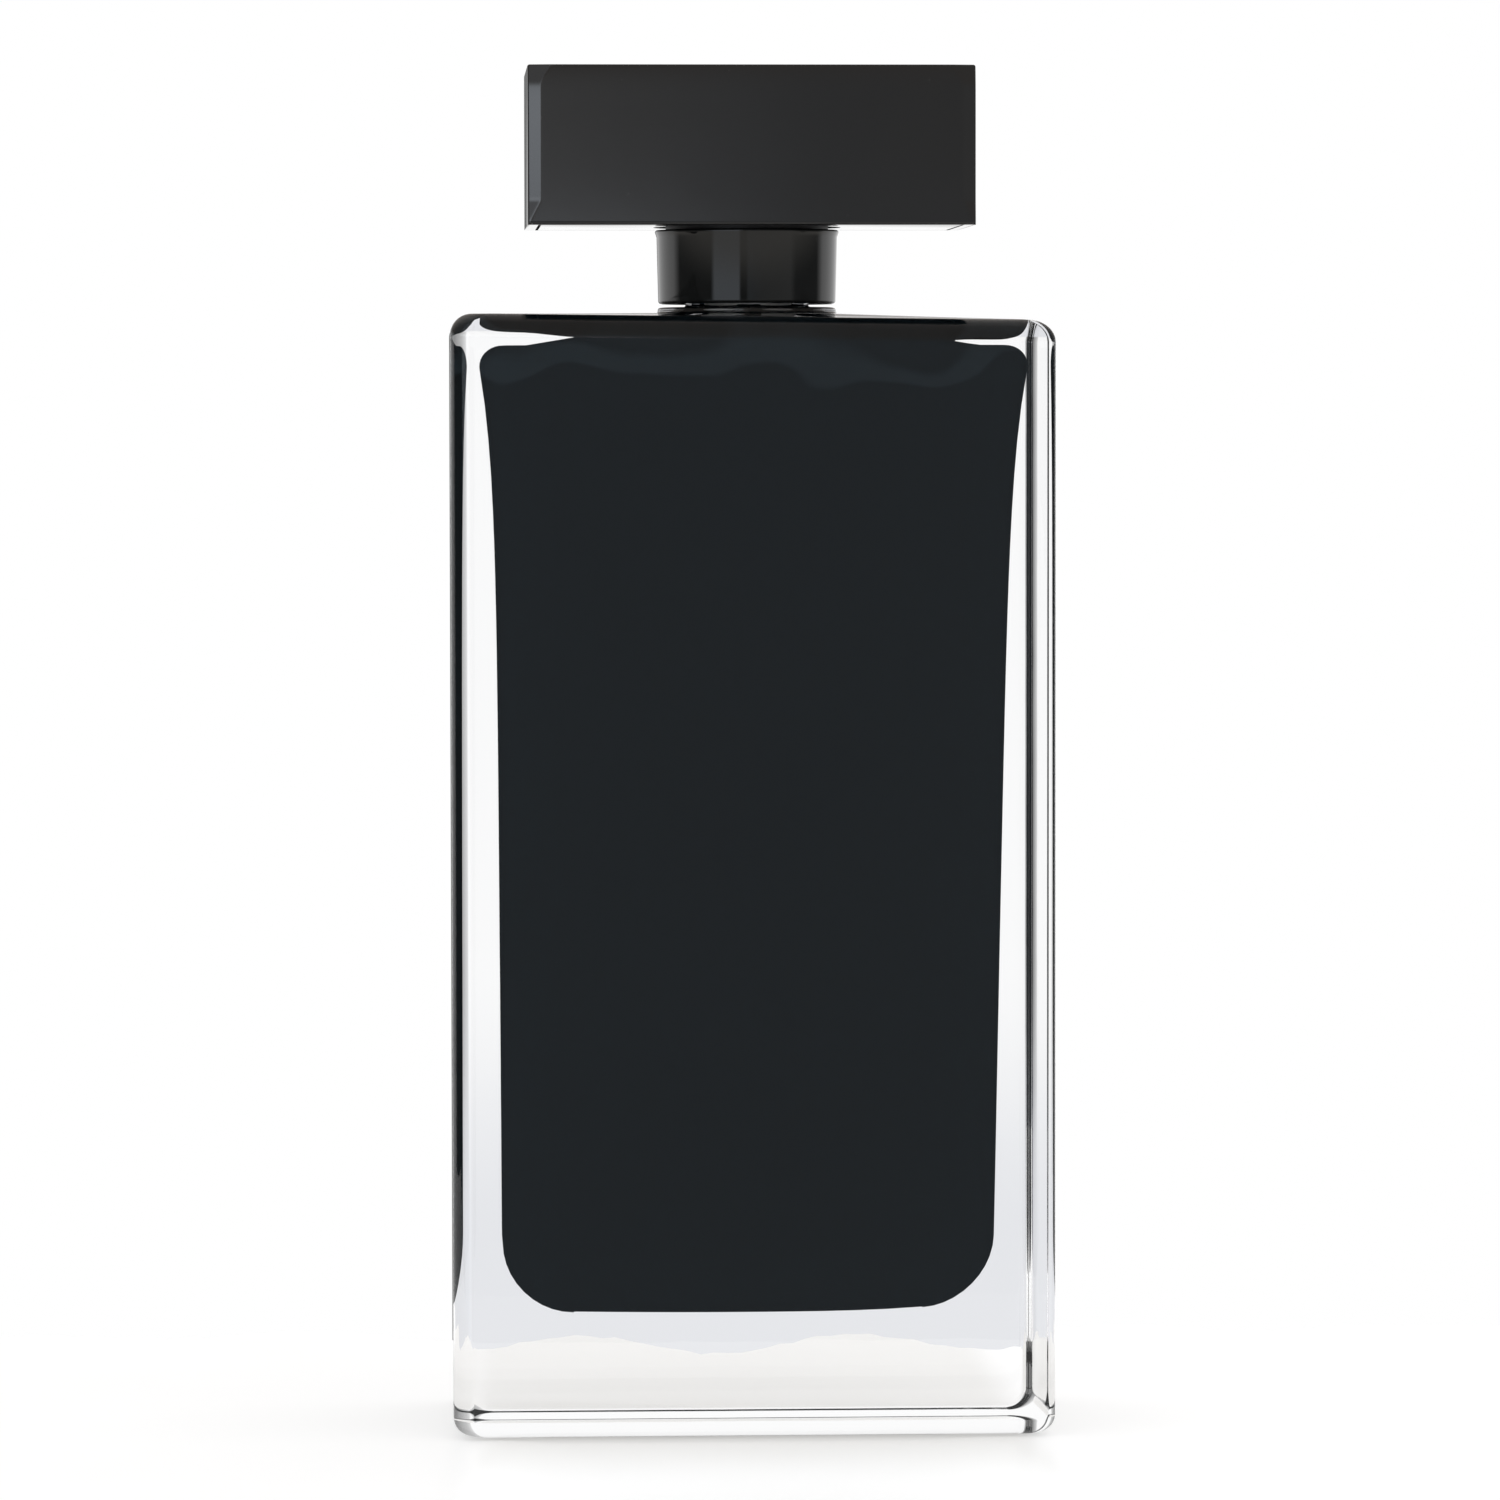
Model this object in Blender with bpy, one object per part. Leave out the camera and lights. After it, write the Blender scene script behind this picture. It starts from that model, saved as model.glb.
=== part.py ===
"""Spray bottle for aftershave: thick glass flacon with a coated inside, crimp pump, collar and cap.

Metres, +Z up. The origin is at the middle of the base. The front faces -Y.
"""

import math

import bmesh
import bpy
from mathutils import Matrix, Vector

MM = 0.001
FIT = 0.3 * MM  # gap between pieces that touch

# Glass flacon
GLASS_WIDTH = 67.0 * MM
GLASS_DEPTH = 34.0 * MM
SHOULDER_HEIGHT = 125.0 * MM
SHOULDER_CROWN = 0.35 * MM
SIDE_EDGE_RADIUS = 2.6 * MM
TOP_EDGE_RADIUS = 3.0 * MM
HEEL_RADIUS = 2.3 * MM
BOSS_RADIUS = 10.05 * MM
BOSS_HEIGHT = 0.7 * MM
NECK_RADIUS = 6.9 * MM
BEAD_RADIUS = 7.45 * MM
BEAD_HEIGHT = 3.0 * MM
NECK_TOP = 133.4 * MM
BORE_RADIUS = 4.8 * MM

# Hollow of the flacon
CAVITY_FLOOR = 12.9 * MM
CAVITY_CEILING = 121.3 * MM
CAVITY_HALF_WIDTH = 27.6 * MM
CAVITY_HALF_DEPTH = 12.0 * MM
CAVITY_TAPER = 0.012
CAVITY_FLARE = 1.9 * MM
CAVITY_FLARE_LENGTH = 14.0 * MM
CAVITY_CORNER_RADIUS = 4.5 * MM
CAVITY_FLOOR_RADIUS = 7.5 * MM
CAVITY_TOP_RADIUS = 2.4 * MM
FUNNEL_RADIUS = 10.5 * MM
COAT_THICKNESS = 0.3 * MM

# Collar
COLLAR_RADIUS = 10.35 * MM
COLLAR_TOP_RADIUS = 10.25 * MM
COLLAR_FOOT_RADIUS = 10.1 * MM
COLLAR_BOTTOM = 126.1 * MM
COLLAR_TOP = 134.4 * MM
COLLAR_BORE = 9.7 * MM
COLLAR_LIP = 0.3 * MM
SPIGOT_RADIUS = 9.15 * MM
SPIGOT_TOP = 139.2 * MM
SPIGOT_WALL = 0.7 * MM
SNAP_RIDGE = 0.15 * MM

# Pump
FERRULE_WALL = 0.4 * MM
PLATE_THICKNESS = 0.5 * MM
FLANGE_RADIUS = 7.3 * MM
GASKET_THICKNESS = 0.5 * MM
FERRULE_HOLE_RADIUS = 2.3 * MM
BARREL_RADIUS = 3.9 * MM
BARREL_BORE = 3.2 * MM
BARREL_FLOOR = 111.0 * MM
BARREL_STEP = 114.0 * MM
BALL_POCKET_RADIUS = 1.4 * MM
SEAT_RADIUS = 0.6 * MM
TAIL_RADIUS = 2.2 * MM
TAIL_BOTTOM = 104.0 * MM
TUBE_RADIUS = 1.2 * MM
TUBE_BORE = 0.65 * MM
TUBE_BOTTOM = 15.5 * MM
BALL_RADIUS = 1.0 * MM
STEM_RADIUS = 1.5 * MM
STEM_BORE = 0.7 * MM
STEM_BOTTOM = 128.6 * MM
STEM_TOP = 145.6 * MM
PISTON_BOTTOM = 128.4 * MM
PISTON_TOP = 131.0 * MM
SPRING_RADIUS = 2.1 * MM
SPRING_WIRE_RADIUS = 0.25 * MM
SPRING_TURNS = 6

# Actuator
ACTUATOR_RADIUS = 6.4 * MM
ACTUATOR_BOTTOM = 141.0 * MM
ACTUATOR_TOP = 149.8 * MM
ACTUATOR_WALL = 0.5 * MM
DISH_DEPTH = 0.4 * MM
NOZZLE_HEIGHT = 146.9 * MM
NOZZLE_RADIUS = 1.4 * MM
NOZZLE_LENGTH = 2.0 * MM
ORIFICE_RADIUS = 0.3 * MM

# Cap
CAP_WIDTH = 49.7 * MM
CAP_DEPTH = 27.0 * MM
CAP_BOTTOM = 134.7 * MM
CAP_TOP = 152.4 * MM
CAP_WALL = 1.2 * MM
CAP_EDGE_RADIUS = 0.3 * MM
CAP_POCKET_RADIUS = 0.8 * MM
BASE_PLATE_THICKNESS = 1.2 * MM
LINER_WALL = 0.8 * MM
LINER_CEILING = 150.4 * MM
WEIGHT_HEIGHT = 6.0 * MM

ROUND_STEPS = 32
SMALL_STEPS = 20
ARC_STEPS = 3
CORNER_POINTS = 8
SMOOTH_ANGLE = math.radians(35)


def clear_scene():
    for item in list(bpy.data.objects):
        bpy.data.objects.remove(item, do_unlink=True)


def make_material(name, colour, roughness, metallic=0.0, alpha=1.0):
    material = bpy.data.materials.new(name)
    material.use_nodes = True
    shader = material.node_tree.nodes["Principled BSDF"]
    shader.inputs["Base Color"].default_value = (*colour, 1.0)
    shader.inputs["Roughness"].default_value = roughness
    shader.inputs["Metallic"].default_value = metallic
    shader.inputs["Alpha"].default_value = alpha
    return material


def add_object(name, shape, material, parent=None):
    """Turns a finished bmesh into an object and places it under its parent."""
    bmesh.ops.remove_doubles(shape, verts=shape.verts, dist=1e-7)
    bmesh.ops.recalc_face_normals(shape, faces=shape.faces)
    mesh = bpy.data.meshes.new(name)
    shape.to_mesh(mesh)
    shape.free()
    mesh.shade_smooth()
    mesh.set_sharp_from_angle(angle=SMOOTH_ANGLE)
    item = bpy.data.objects.new(name, mesh)
    bpy.context.collection.objects.link(item)
    if material:
        mesh.materials.append(material)
    if parent:
        item.parent = parent
    return item


def add_axis(name, parent=None):
    """An empty on the bottle's upright axis, which carries the pieces that move together."""
    axis = bpy.data.objects.new(name, None)
    bpy.context.collection.objects.link(axis)
    axis.parent = parent
    return axis


def arc(centre, radius, start, end, steps=ARC_STEPS):
    """Points of a circular arc in a profile plane, with angles in degrees."""
    angles = [math.radians(start + (end - start) * i / steps) for i in range(steps + 1)]
    return [(centre[0] + radius * math.cos(a), centre[1] + radius * math.sin(a)) for a in angles]


def turned(name, profile, material, parent=None, steps=ROUND_STEPS):
    """A body turned about the upright axis from a profile of (radius, height) points.

    A profile whose two ends lie on the axis stays open, and any other is closed into a ring.
    """
    shape = bmesh.new()
    points = [shape.verts.new((radius, 0.0, height)) for radius, height in profile]
    edges = [shape.edges.new(pair) for pair in zip(points, points[1:])]
    if profile[0][0] > 0.0 or profile[-1][0] > 0.0:
        edges.append(shape.edges.new((points[-1], points[0])))
    bmesh.ops.spin(
        shape,
        geom=points + edges,
        axis=(0, 0, 1),
        cent=(0, 0, 0),
        angle=math.tau,
        steps=steps,
        use_merge=True,
    )
    return add_object(name, shape, material, parent)


def rounded_outline(half_width, half_depth, radius, height):
    """A level rounded rectangle, with CORNER_POINTS points on each corner."""
    points = []
    signs = ((1, 1), (-1, 1), (-1, -1), (1, -1))
    for corner, (side_x, side_y) in enumerate(signs):
        for i in range(CORNER_POINTS):
            angle = math.radians(90 * (corner + i / (CORNER_POINTS - 1)))
            x = side_x * (half_width - radius) + radius * math.cos(angle)
            y = side_y * (half_depth - radius) + radius * math.sin(angle)
            points.append(Vector((x, y, height)))
    return points


def round_outline(radius, height):
    """A level circle with as many points as a rounded outline."""
    count = 4 * CORNER_POINTS
    angles = [math.tau * (i + 0.5) / count for i in range(count)]
    return [Vector((radius * math.cos(a), radius * math.sin(a), height)) for a in angles]


def loft(outlines):
    """A closed body through level outlines that hold the same number of points."""
    shape = bmesh.new()
    loops = []
    for outline in outlines:
        points = [shape.verts.new(point) for point in outline]
        loops.append([shape.edges.new((points[i - 1], points[i])) for i in range(len(points))])
    for lower, upper in zip(loops, loops[1:]):
        bmesh.ops.bridge_loops(shape, edges=lower + upper)
    for end in (loops[0], loops[-1]):
        bmesh.ops.edgeloop_fill(shape, edges=end)
    return shape


def cavity_half_width(height):
    """The hollow widens slowly upwards and flares near its ceiling."""
    rise = height - CAVITY_FLOOR
    flare = math.exp((height - CAVITY_CEILING) / CAVITY_FLARE_LENGTH)
    return CAVITY_HALF_WIDTH + CAVITY_TAPER * rise + CAVITY_FLARE * flare


def cavity_half_depth(height):
    return CAVITY_HALF_DEPTH + (cavity_half_width(height) - CAVITY_HALF_WIDTH) / 2


def cavity_outlines(inset, top):
    """Outlines of the hollow from its floor to the given height in the neck, shrunk by inset."""
    outlines = []
    for side, height in arc((0.0, CAVITY_FLOOR + CAVITY_FLOOR_RADIUS), CAVITY_FLOOR_RADIUS - inset, -80, 0):
        outlines.append(cavity_outline(CAVITY_FLOOR_RADIUS - side, height))
    for step in (0.25, 0.5, 0.7, 0.85):
        height = CAVITY_FLOOR + step * (CAVITY_CEILING - CAVITY_FLOOR)
        outlines.append(cavity_outline(inset, height))
    for side, height in arc((0.0, CAVITY_CEILING - CAVITY_TOP_RADIUS), CAVITY_TOP_RADIUS - inset, 0, 80):
        outlines.append(cavity_outline(CAVITY_TOP_RADIUS - side, height))
    outlines.append(round_outline(FUNNEL_RADIUS - inset, CAVITY_CEILING + 0.1 * MM - inset))
    outlines.append(round_outline(BORE_RADIUS - inset, SHOULDER_HEIGHT))
    outlines.append(round_outline(BORE_RADIUS - inset, top))
    return outlines


def cavity_outline(inset, height):
    width = cavity_half_width(height) - inset
    depth = cavity_half_depth(height) - inset
    return rounded_outline(width, depth, max(CAVITY_CORNER_RADIUS - inset, 0.5 * MM), height)


def glass_outer_outlines():
    """Outlines of the flacon's outside, from its base up to the top of the neck."""
    half_width, half_depth = GLASS_WIDTH / 2, GLASS_DEPTH / 2
    outlines = []
    for side, height in arc((0.0, HEEL_RADIUS), HEEL_RADIUS, -90, 0):
        inset = HEEL_RADIUS - side
        radius = SIDE_EDGE_RADIUS
        outlines.append(rounded_outline(half_width - inset, half_depth - inset, radius, height))
    top_start = SHOULDER_HEIGHT - SHOULDER_CROWN - TOP_EDGE_RADIUS
    for side, height in arc((0.0, top_start), TOP_EDGE_RADIUS, 0, 90):
        inset = TOP_EDGE_RADIUS - side
        radius = SIDE_EDGE_RADIUS
        outlines.append(rounded_outline(half_width - inset, half_depth - inset, radius, height))
    bead_bottom = NECK_TOP - BEAD_HEIGHT
    outlines.append(round_outline(BOSS_RADIUS + 0.6 * MM, SHOULDER_HEIGHT))
    outlines.append(round_outline(BOSS_RADIUS, SHOULDER_HEIGHT + BOSS_HEIGHT / 2))
    outlines.append(round_outline(BOSS_RADIUS - 0.3 * MM, SHOULDER_HEIGHT + BOSS_HEIGHT))
    outlines.append(round_outline(NECK_RADIUS, SHOULDER_HEIGHT + BOSS_HEIGHT))
    outlines.append(round_outline(NECK_RADIUS, bead_bottom))
    outlines.append(round_outline(BEAD_RADIUS, bead_bottom + 0.5 * MM))
    outlines.append(round_outline(BEAD_RADIUS, NECK_TOP - 0.5 * MM))
    outlines.append(round_outline(BEAD_RADIUS - 0.5 * MM, NECK_TOP))
    return outlines


def build_glass(material):
    inner = cavity_outlines(0.0, NECK_TOP)
    shape = loft(glass_outer_outlines() + inner[::-1])
    return add_object("glass_bottle", shape, material)


def build_lacquer(material):
    """A thin open shell that lines the hollow and ends in the bottom of the neck."""
    rim = SHOULDER_HEIGHT + BOSS_HEIGHT
    outer = cavity_outlines(FIT, rim)
    inner = cavity_outlines(FIT + COAT_THICKNESS, rim)
    return add_object("inner_lacquer", loft(outer + inner[::-1]), material)


def build_gasket(material):
    bottom = NECK_TOP + FIT
    top = bottom + GASKET_THICKNESS
    inner = BARREL_RADIUS + FIT
    profile = [(inner, bottom), (FLANGE_RADIUS, bottom), (FLANGE_RADIUS, top), (inner, top)]
    turned("neck_gasket", profile, material)


def build_ferrule(material):
    """A cup over the neck's bead, with its bottom edge turned in under it."""
    ceiling = flange_top() + FIT
    top = ceiling + FERRULE_WALL
    inner = BEAD_RADIUS + FIT
    outer = inner + FERRULE_WALL
    lip = NECK_TOP - BEAD_HEIGHT - 0.5 * MM
    profile = [(FERRULE_HOLE_RADIUS, top)]
    profile += arc((outer - FERRULE_WALL, top - FERRULE_WALL), FERRULE_WALL, 90, 0)
    profile += [(outer, lip), (inner, lip - FERRULE_WALL), (NECK_RADIUS + FIT, lip - FERRULE_WALL)]
    profile += [(NECK_RADIUS + FIT, lip), (inner, lip + FERRULE_WALL)]
    profile += [(inner, ceiling), (FERRULE_HOLE_RADIUS, ceiling)]
    turned("crimp_ferrule", profile, material)


def flange_top():
    """Height of the top of the pump's flange, which stands on the gasket."""
    return NECK_TOP + GASKET_THICKNESS + PLATE_THICKNESS + 2 * FIT


def build_housing(material):
    """The pump barrel: flange, bore, ball seat and the tail that holds the dip tube."""
    top = flange_top()
    tail_bore = TUBE_RADIUS + FIT
    profile = [(BARREL_BORE, top), (FLANGE_RADIUS, top), (FLANGE_RADIUS, top - PLATE_THICKNESS)]
    profile += [(BARREL_RADIUS, top - PLATE_THICKNESS), (BARREL_RADIUS, BARREL_FLOOR + 1.0 * MM)]
    profile += [(TAIL_RADIUS, BARREL_FLOOR - 0.5 * MM), (TAIL_RADIUS, TAIL_BOTTOM)]
    profile += [(tail_bore, TAIL_BOTTOM), (tail_bore, BARREL_FLOOR - 1.0 * MM)]
    profile += [(SEAT_RADIUS, BARREL_FLOOR - 0.6 * MM), (SEAT_RADIUS, BARREL_FLOOR)]
    profile += [(BALL_POCKET_RADIUS, BARREL_FLOOR + 0.4 * MM), (BALL_POCKET_RADIUS, BARREL_STEP)]
    profile += [(BARREL_BORE, BARREL_STEP)]
    turned("pump_housing", profile, material)


def build_retainer(material):
    """The bush in the mouth of the barrel that guides the stem and stops the piston."""
    inner, outer = STEM_RADIUS + FIT, BARREL_BORE - FIT
    bottom, top = PISTON_TOP + FIT, flange_top()
    profile = [(inner, bottom), (outer, bottom), (outer, top), (inner, top)]
    turned("pump_retainer", profile, material, steps=SMALL_STEPS)


def build_dip_tube(material):
    top = BARREL_FLOOR - 1.0 * MM - FIT
    profile = [(TUBE_BORE, TUBE_BOTTOM), (TUBE_RADIUS, TUBE_BOTTOM), (TUBE_RADIUS, top), (TUBE_BORE, top)]
    turned("dip_tube", profile, material, steps=SMALL_STEPS)


def build_ball(material, parent):
    shape = bmesh.new()
    bmesh.ops.create_uvsphere(shape, u_segments=16, v_segments=10, radius=BALL_RADIUS)
    seat_rise = math.sqrt(BALL_RADIUS**2 - SEAT_RADIUS**2)
    ball = add_object("inlet_ball", shape, material, parent)
    ball.location.z = BARREL_FLOOR + seat_rise + FIT


def build_spring(material):
    """A helix between the step in the barrel and the piston."""
    bottom = BARREL_STEP + FIT + SPRING_WIRE_RADIUS
    top = PISTON_BOTTOM - FIT - SPRING_WIRE_RADIUS
    count = SPRING_TURNS * 10
    curve = bpy.data.curves.new("return_spring", "CURVE")
    curve.dimensions = "3D"
    curve.bevel_depth = SPRING_WIRE_RADIUS
    curve.bevel_resolution = 1
    curve.use_fill_caps = True
    spline = curve.splines.new("POLY")
    spline.points.add(count)
    for i, point in enumerate(spline.points):
        turn = math.tau * SPRING_TURNS * i / count
        height = bottom + (top - bottom) * i / count
        point.co = (SPRING_RADIUS * math.cos(turn), SPRING_RADIUS * math.sin(turn), height, 1.0)
    curve.materials.append(material)
    spring = bpy.data.objects.new("return_spring", curve)
    bpy.context.collection.objects.link(spring)


def build_piston(material, parent):
    """A cup ring round the foot of the stem, with a thin lip at each end."""
    inner, outer = STEM_RADIUS + FIT, BARREL_BORE - FIT
    waist = outer - 0.35 * MM
    profile = [(inner, PISTON_BOTTOM), (outer, PISTON_BOTTOM), (outer, PISTON_BOTTOM + 0.6 * MM)]
    profile += [(waist, PISTON_BOTTOM + 0.9 * MM), (waist, PISTON_TOP - 0.9 * MM)]
    profile += [(outer, PISTON_TOP - 0.6 * MM), (outer, PISTON_TOP), (inner, PISTON_TOP)]
    turned("piston", profile, material, parent, steps=SMALL_STEPS)


def build_stem(material, parent):
    rim = 0.3 * MM
    profile = [(STEM_BORE, STEM_BOTTOM), (STEM_RADIUS, STEM_BOTTOM), (STEM_RADIUS, STEM_TOP - rim)]
    profile += [(STEM_RADIUS - rim, STEM_TOP), (STEM_BORE, STEM_TOP)]
    turned("valve_stem", profile, material, parent, steps=SMALL_STEPS)


def build_collar_shell(material, parent):
    """The visible sleeve, slightly wider upwards, with a small flared rim turned in over the insert."""
    lip_inner = SPIGOT_RADIUS + FIT
    corner = (COLLAR_RADIUS - COLLAR_LIP, COLLAR_TOP - COLLAR_LIP)
    profile = [(COLLAR_BORE, COLLAR_BOTTOM), (COLLAR_FOOT_RADIUS - 0.2 * MM, COLLAR_BOTTOM)]
    profile += [(COLLAR_FOOT_RADIUS, COLLAR_BOTTOM + 0.2 * MM), (COLLAR_TOP_RADIUS, COLLAR_TOP - 0.8 * MM)]
    profile += arc(corner, COLLAR_LIP, 0, 90)
    profile += [(lip_inner, COLLAR_TOP), (lip_inner, COLLAR_TOP - PLATE_THICKNESS)]
    profile += [(COLLAR_BORE, COLLAR_TOP - PLATE_THICKNESS)]
    turned("collar_shell", profile, material, parent)


def build_collar_insert(material, parent):
    """The ring that grips the ferrule. Its top is the spigot that the cap slides over."""
    ferrule_outer = BEAD_RADIUS + FIT + FERRULE_WALL
    ferrule_top = flange_top() + FIT + FERRULE_WALL
    inner = ferrule_outer + FIT
    upper = SPIGOT_RADIUS - SPIGOT_WALL
    web = ferrule_top + FIT
    window = ACTUATOR_RADIUS + 0.5 * MM
    ridge = SPIGOT_TOP - 1.6 * MM
    foot = COLLAR_BOTTOM + 0.4 * MM
    profile = [(inner, foot), (SPIGOT_RADIUS, foot), (SPIGOT_RADIUS, ridge - 0.3 * MM)]
    profile += [(SPIGOT_RADIUS + SNAP_RIDGE, ridge), (SPIGOT_RADIUS, ridge + 0.3 * MM)]
    profile += [(SPIGOT_RADIUS, SPIGOT_TOP - 0.3 * MM), (SPIGOT_RADIUS - 0.3 * MM, SPIGOT_TOP)]
    profile += [(upper, SPIGOT_TOP), (upper, web + PLATE_THICKNESS), (window, web + PLATE_THICKNESS)]
    profile += [(window, web), (inner, web)]
    turned("collar_insert", profile, material, parent)


def lying_cylinder(name, radius, start, end):
    """A hidden cutter along Y at the nozzle's height, from start to end."""
    shape = bmesh.new()
    bmesh.ops.create_cone(
        shape,
        cap_ends=True,
        segments=SMALL_STEPS,
        radius1=radius,
        radius2=radius,
        depth=end - start,
    )
    half_step = math.pi / SMALL_STEPS
    turn = Matrix.Rotation(half_step, 3, "Z")
    bmesh.ops.rotate(shape, cent=(0.0, 0.0, 0.0), matrix=turn, verts=shape.verts)
    cutter = add_object(name, shape, None)
    cutter.rotation_euler.x = math.radians(90)
    cutter.location = (0.0, (start + end) / 2, NOZZLE_HEIGHT)
    return hide_cutter(cutter)


def hide_cutter(cutter):
    cutter.hide_render = True
    cutter.display_type = "WIRE"
    return cutter


def cut(item, cutter):
    """Takes the cutter's body out of the item."""
    modifier = item.modifiers.new(cutter.name, "BOOLEAN")
    modifier.operation = "DIFFERENCE"
    modifier.solver = "EXACT"
    modifier.object = cutter


def build_actuator(core_material, cover_material, nozzle_material, parent):
    """The spray button: a cored body on the stem, a dished cover and the nozzle in its window."""
    core_radius = ACTUATOR_RADIUS - ACTUATOR_WALL - FIT
    ceiling = ACTUATOR_TOP - DISH_DEPTH - ACTUATOR_WALL
    core_top = ceiling - FIT
    core_bottom = ACTUATOR_BOTTOM + 0.4 * MM
    socket = STEM_RADIUS + FIT
    socket_wall = socket + 1.0 * MM
    skirt = core_radius - 0.8 * MM
    hollow_top = NOZZLE_HEIGHT - 2.1 * MM
    channel = STEM_BORE
    profile = [(0.0, core_top), (core_radius, core_top), (core_radius, core_bottom), (skirt, core_bottom)]
    profile += [(skirt, hollow_top), (socket_wall, hollow_top), (socket_wall, core_bottom + 0.5 * MM)]
    profile += [(socket, core_bottom + 0.5 * MM), (socket, STEM_TOP + FIT), (channel, STEM_TOP + FIT)]
    profile += [(channel, NOZZLE_HEIGHT + 0.8 * MM), (0.0, NOZZLE_HEIGHT + 0.8 * MM)]
    core = turned("actuator_core", profile, core_material, parent)

    inner = ACTUATOR_RADIUS - ACTUATOR_WALL
    rim = 0.5 * MM
    profile = [(0.0, ACTUATOR_TOP - DISH_DEPTH), (0.55 * ACTUATOR_RADIUS, ACTUATOR_TOP - 0.7 * DISH_DEPTH)]
    profile += arc((ACTUATOR_RADIUS - rim, ACTUATOR_TOP - rim), rim, 100, 0)
    profile += [(ACTUATOR_RADIUS, ACTUATOR_BOTTOM), (inner, ACTUATOR_BOTTOM), (inner, ceiling), (0.0, ceiling)]
    cover = turned("actuator_cover", profile, cover_material, parent)

    pocket_floor = core_radius - NOZZLE_LENGTH - 2 * FIT
    pocket = lying_cylinder("nozzle_pocket", NOZZLE_RADIUS + FIT, -2 * ACTUATOR_RADIUS, -pocket_floor)
    passage = lying_cylinder("nozzle_passage", 0.45 * MM, -2 * ACTUATOR_RADIUS, -0.1 * MM)
    cut(cover, pocket)
    cut(core, pocket)
    cut(core, passage)

    front = core_radius - 0.1 * MM
    back = front - NOZZLE_LENGTH
    cup = NOZZLE_RADIUS - 0.5 * MM
    profile = [(ORIFICE_RADIUS, front), (NOZZLE_RADIUS, front), (NOZZLE_RADIUS, back), (cup, back)]
    profile += [(cup, front - 0.8 * MM), (ORIFICE_RADIUS, front - 0.5 * MM)]
    nozzle = turned("nozzle_insert", profile, nozzle_material, parent, steps=SMALL_STEPS)
    nozzle.rotation_euler.x = math.radians(90)
    nozzle.location.z = NOZZLE_HEIGHT


def block(name, width, depth, bottom, top, edge, material, parent=None):
    """A rectangular body with rounded edges."""
    shape = bmesh.new()
    bmesh.ops.create_cube(shape, size=1.0)
    bmesh.ops.scale(shape, vec=(width, depth, top - bottom), verts=shape.verts)
    bmesh.ops.translate(shape, vec=(0.0, 0.0, (top + bottom) / 2), verts=shape.verts)
    bmesh.ops.bevel(
        shape,
        geom=list(shape.edges),
        offset=edge,
        offset_type="OFFSET",
        segments=2,
        profile=0.5,
        affect="EDGES",
        material=-1,
    )
    return add_object(name, shape, material, parent)


def build_cap(shell_material, liner_material, weight_material, plate_material, parent):
    shell = block("cap_shell", CAP_WIDTH, CAP_DEPTH, CAP_BOTTOM, CAP_TOP, CAP_EDGE_RADIUS, shell_material, parent)
    pocket_width, pocket_depth = CAP_WIDTH - 2 * CAP_WALL, CAP_DEPTH - 2 * CAP_WALL
    ceiling = CAP_TOP - CAP_WALL
    below = CAP_BOTTOM - 5.0 * MM
    pocket = block("cap_pocket", pocket_width, pocket_depth, below, ceiling, CAP_POCKET_RADIUS, None)
    cut(shell, hide_cutter(pocket))

    inner = SPIGOT_RADIUS + FIT
    outer = inner + LINER_WALL
    foot = CAP_BOTTOM + 0.2 * MM
    top = LINER_CEILING + 0.5 * MM
    lead = 0.4 * MM
    profile = [(0.0, top), (outer - lead, top), (outer, top - lead), (outer, foot), (inner + lead, foot)]
    profile += [(inner, foot + lead), (inner, LINER_CEILING), (0.0, LINER_CEILING)]
    turned("cap_liner", profile, liner_material, parent)

    inside_width, inside_depth = pocket_width - 2 * FIT, pocket_depth - 2 * FIT
    hole = turned_cutter("liner_hole", outer + FIT, below, CAP_TOP + 5.0 * MM)
    edge = 0.6 * MM
    weight_top = ceiling - FIT
    weight = block(
        "cap_weight", inside_width, inside_depth, weight_top - WEIGHT_HEIGHT, weight_top, edge,
        weight_material, parent,
    )
    cut(weight, hole)
    plate_bottom = CAP_BOTTOM + 0.2 * MM
    plate = block(
        "cap_base_plate", inside_width, inside_depth, plate_bottom, plate_bottom + BASE_PLATE_THICKNESS,
        0.2 * MM, plate_material, parent,
    )
    cut(plate, hole)


def turned_cutter(name, radius, bottom, top):
    """A hidden upright cylinder on the bottle's axis."""
    profile = [(0.0, top), (radius, top), (radius, bottom), (0.0, bottom)]
    return hide_cutter(turned(name, profile, None))


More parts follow.
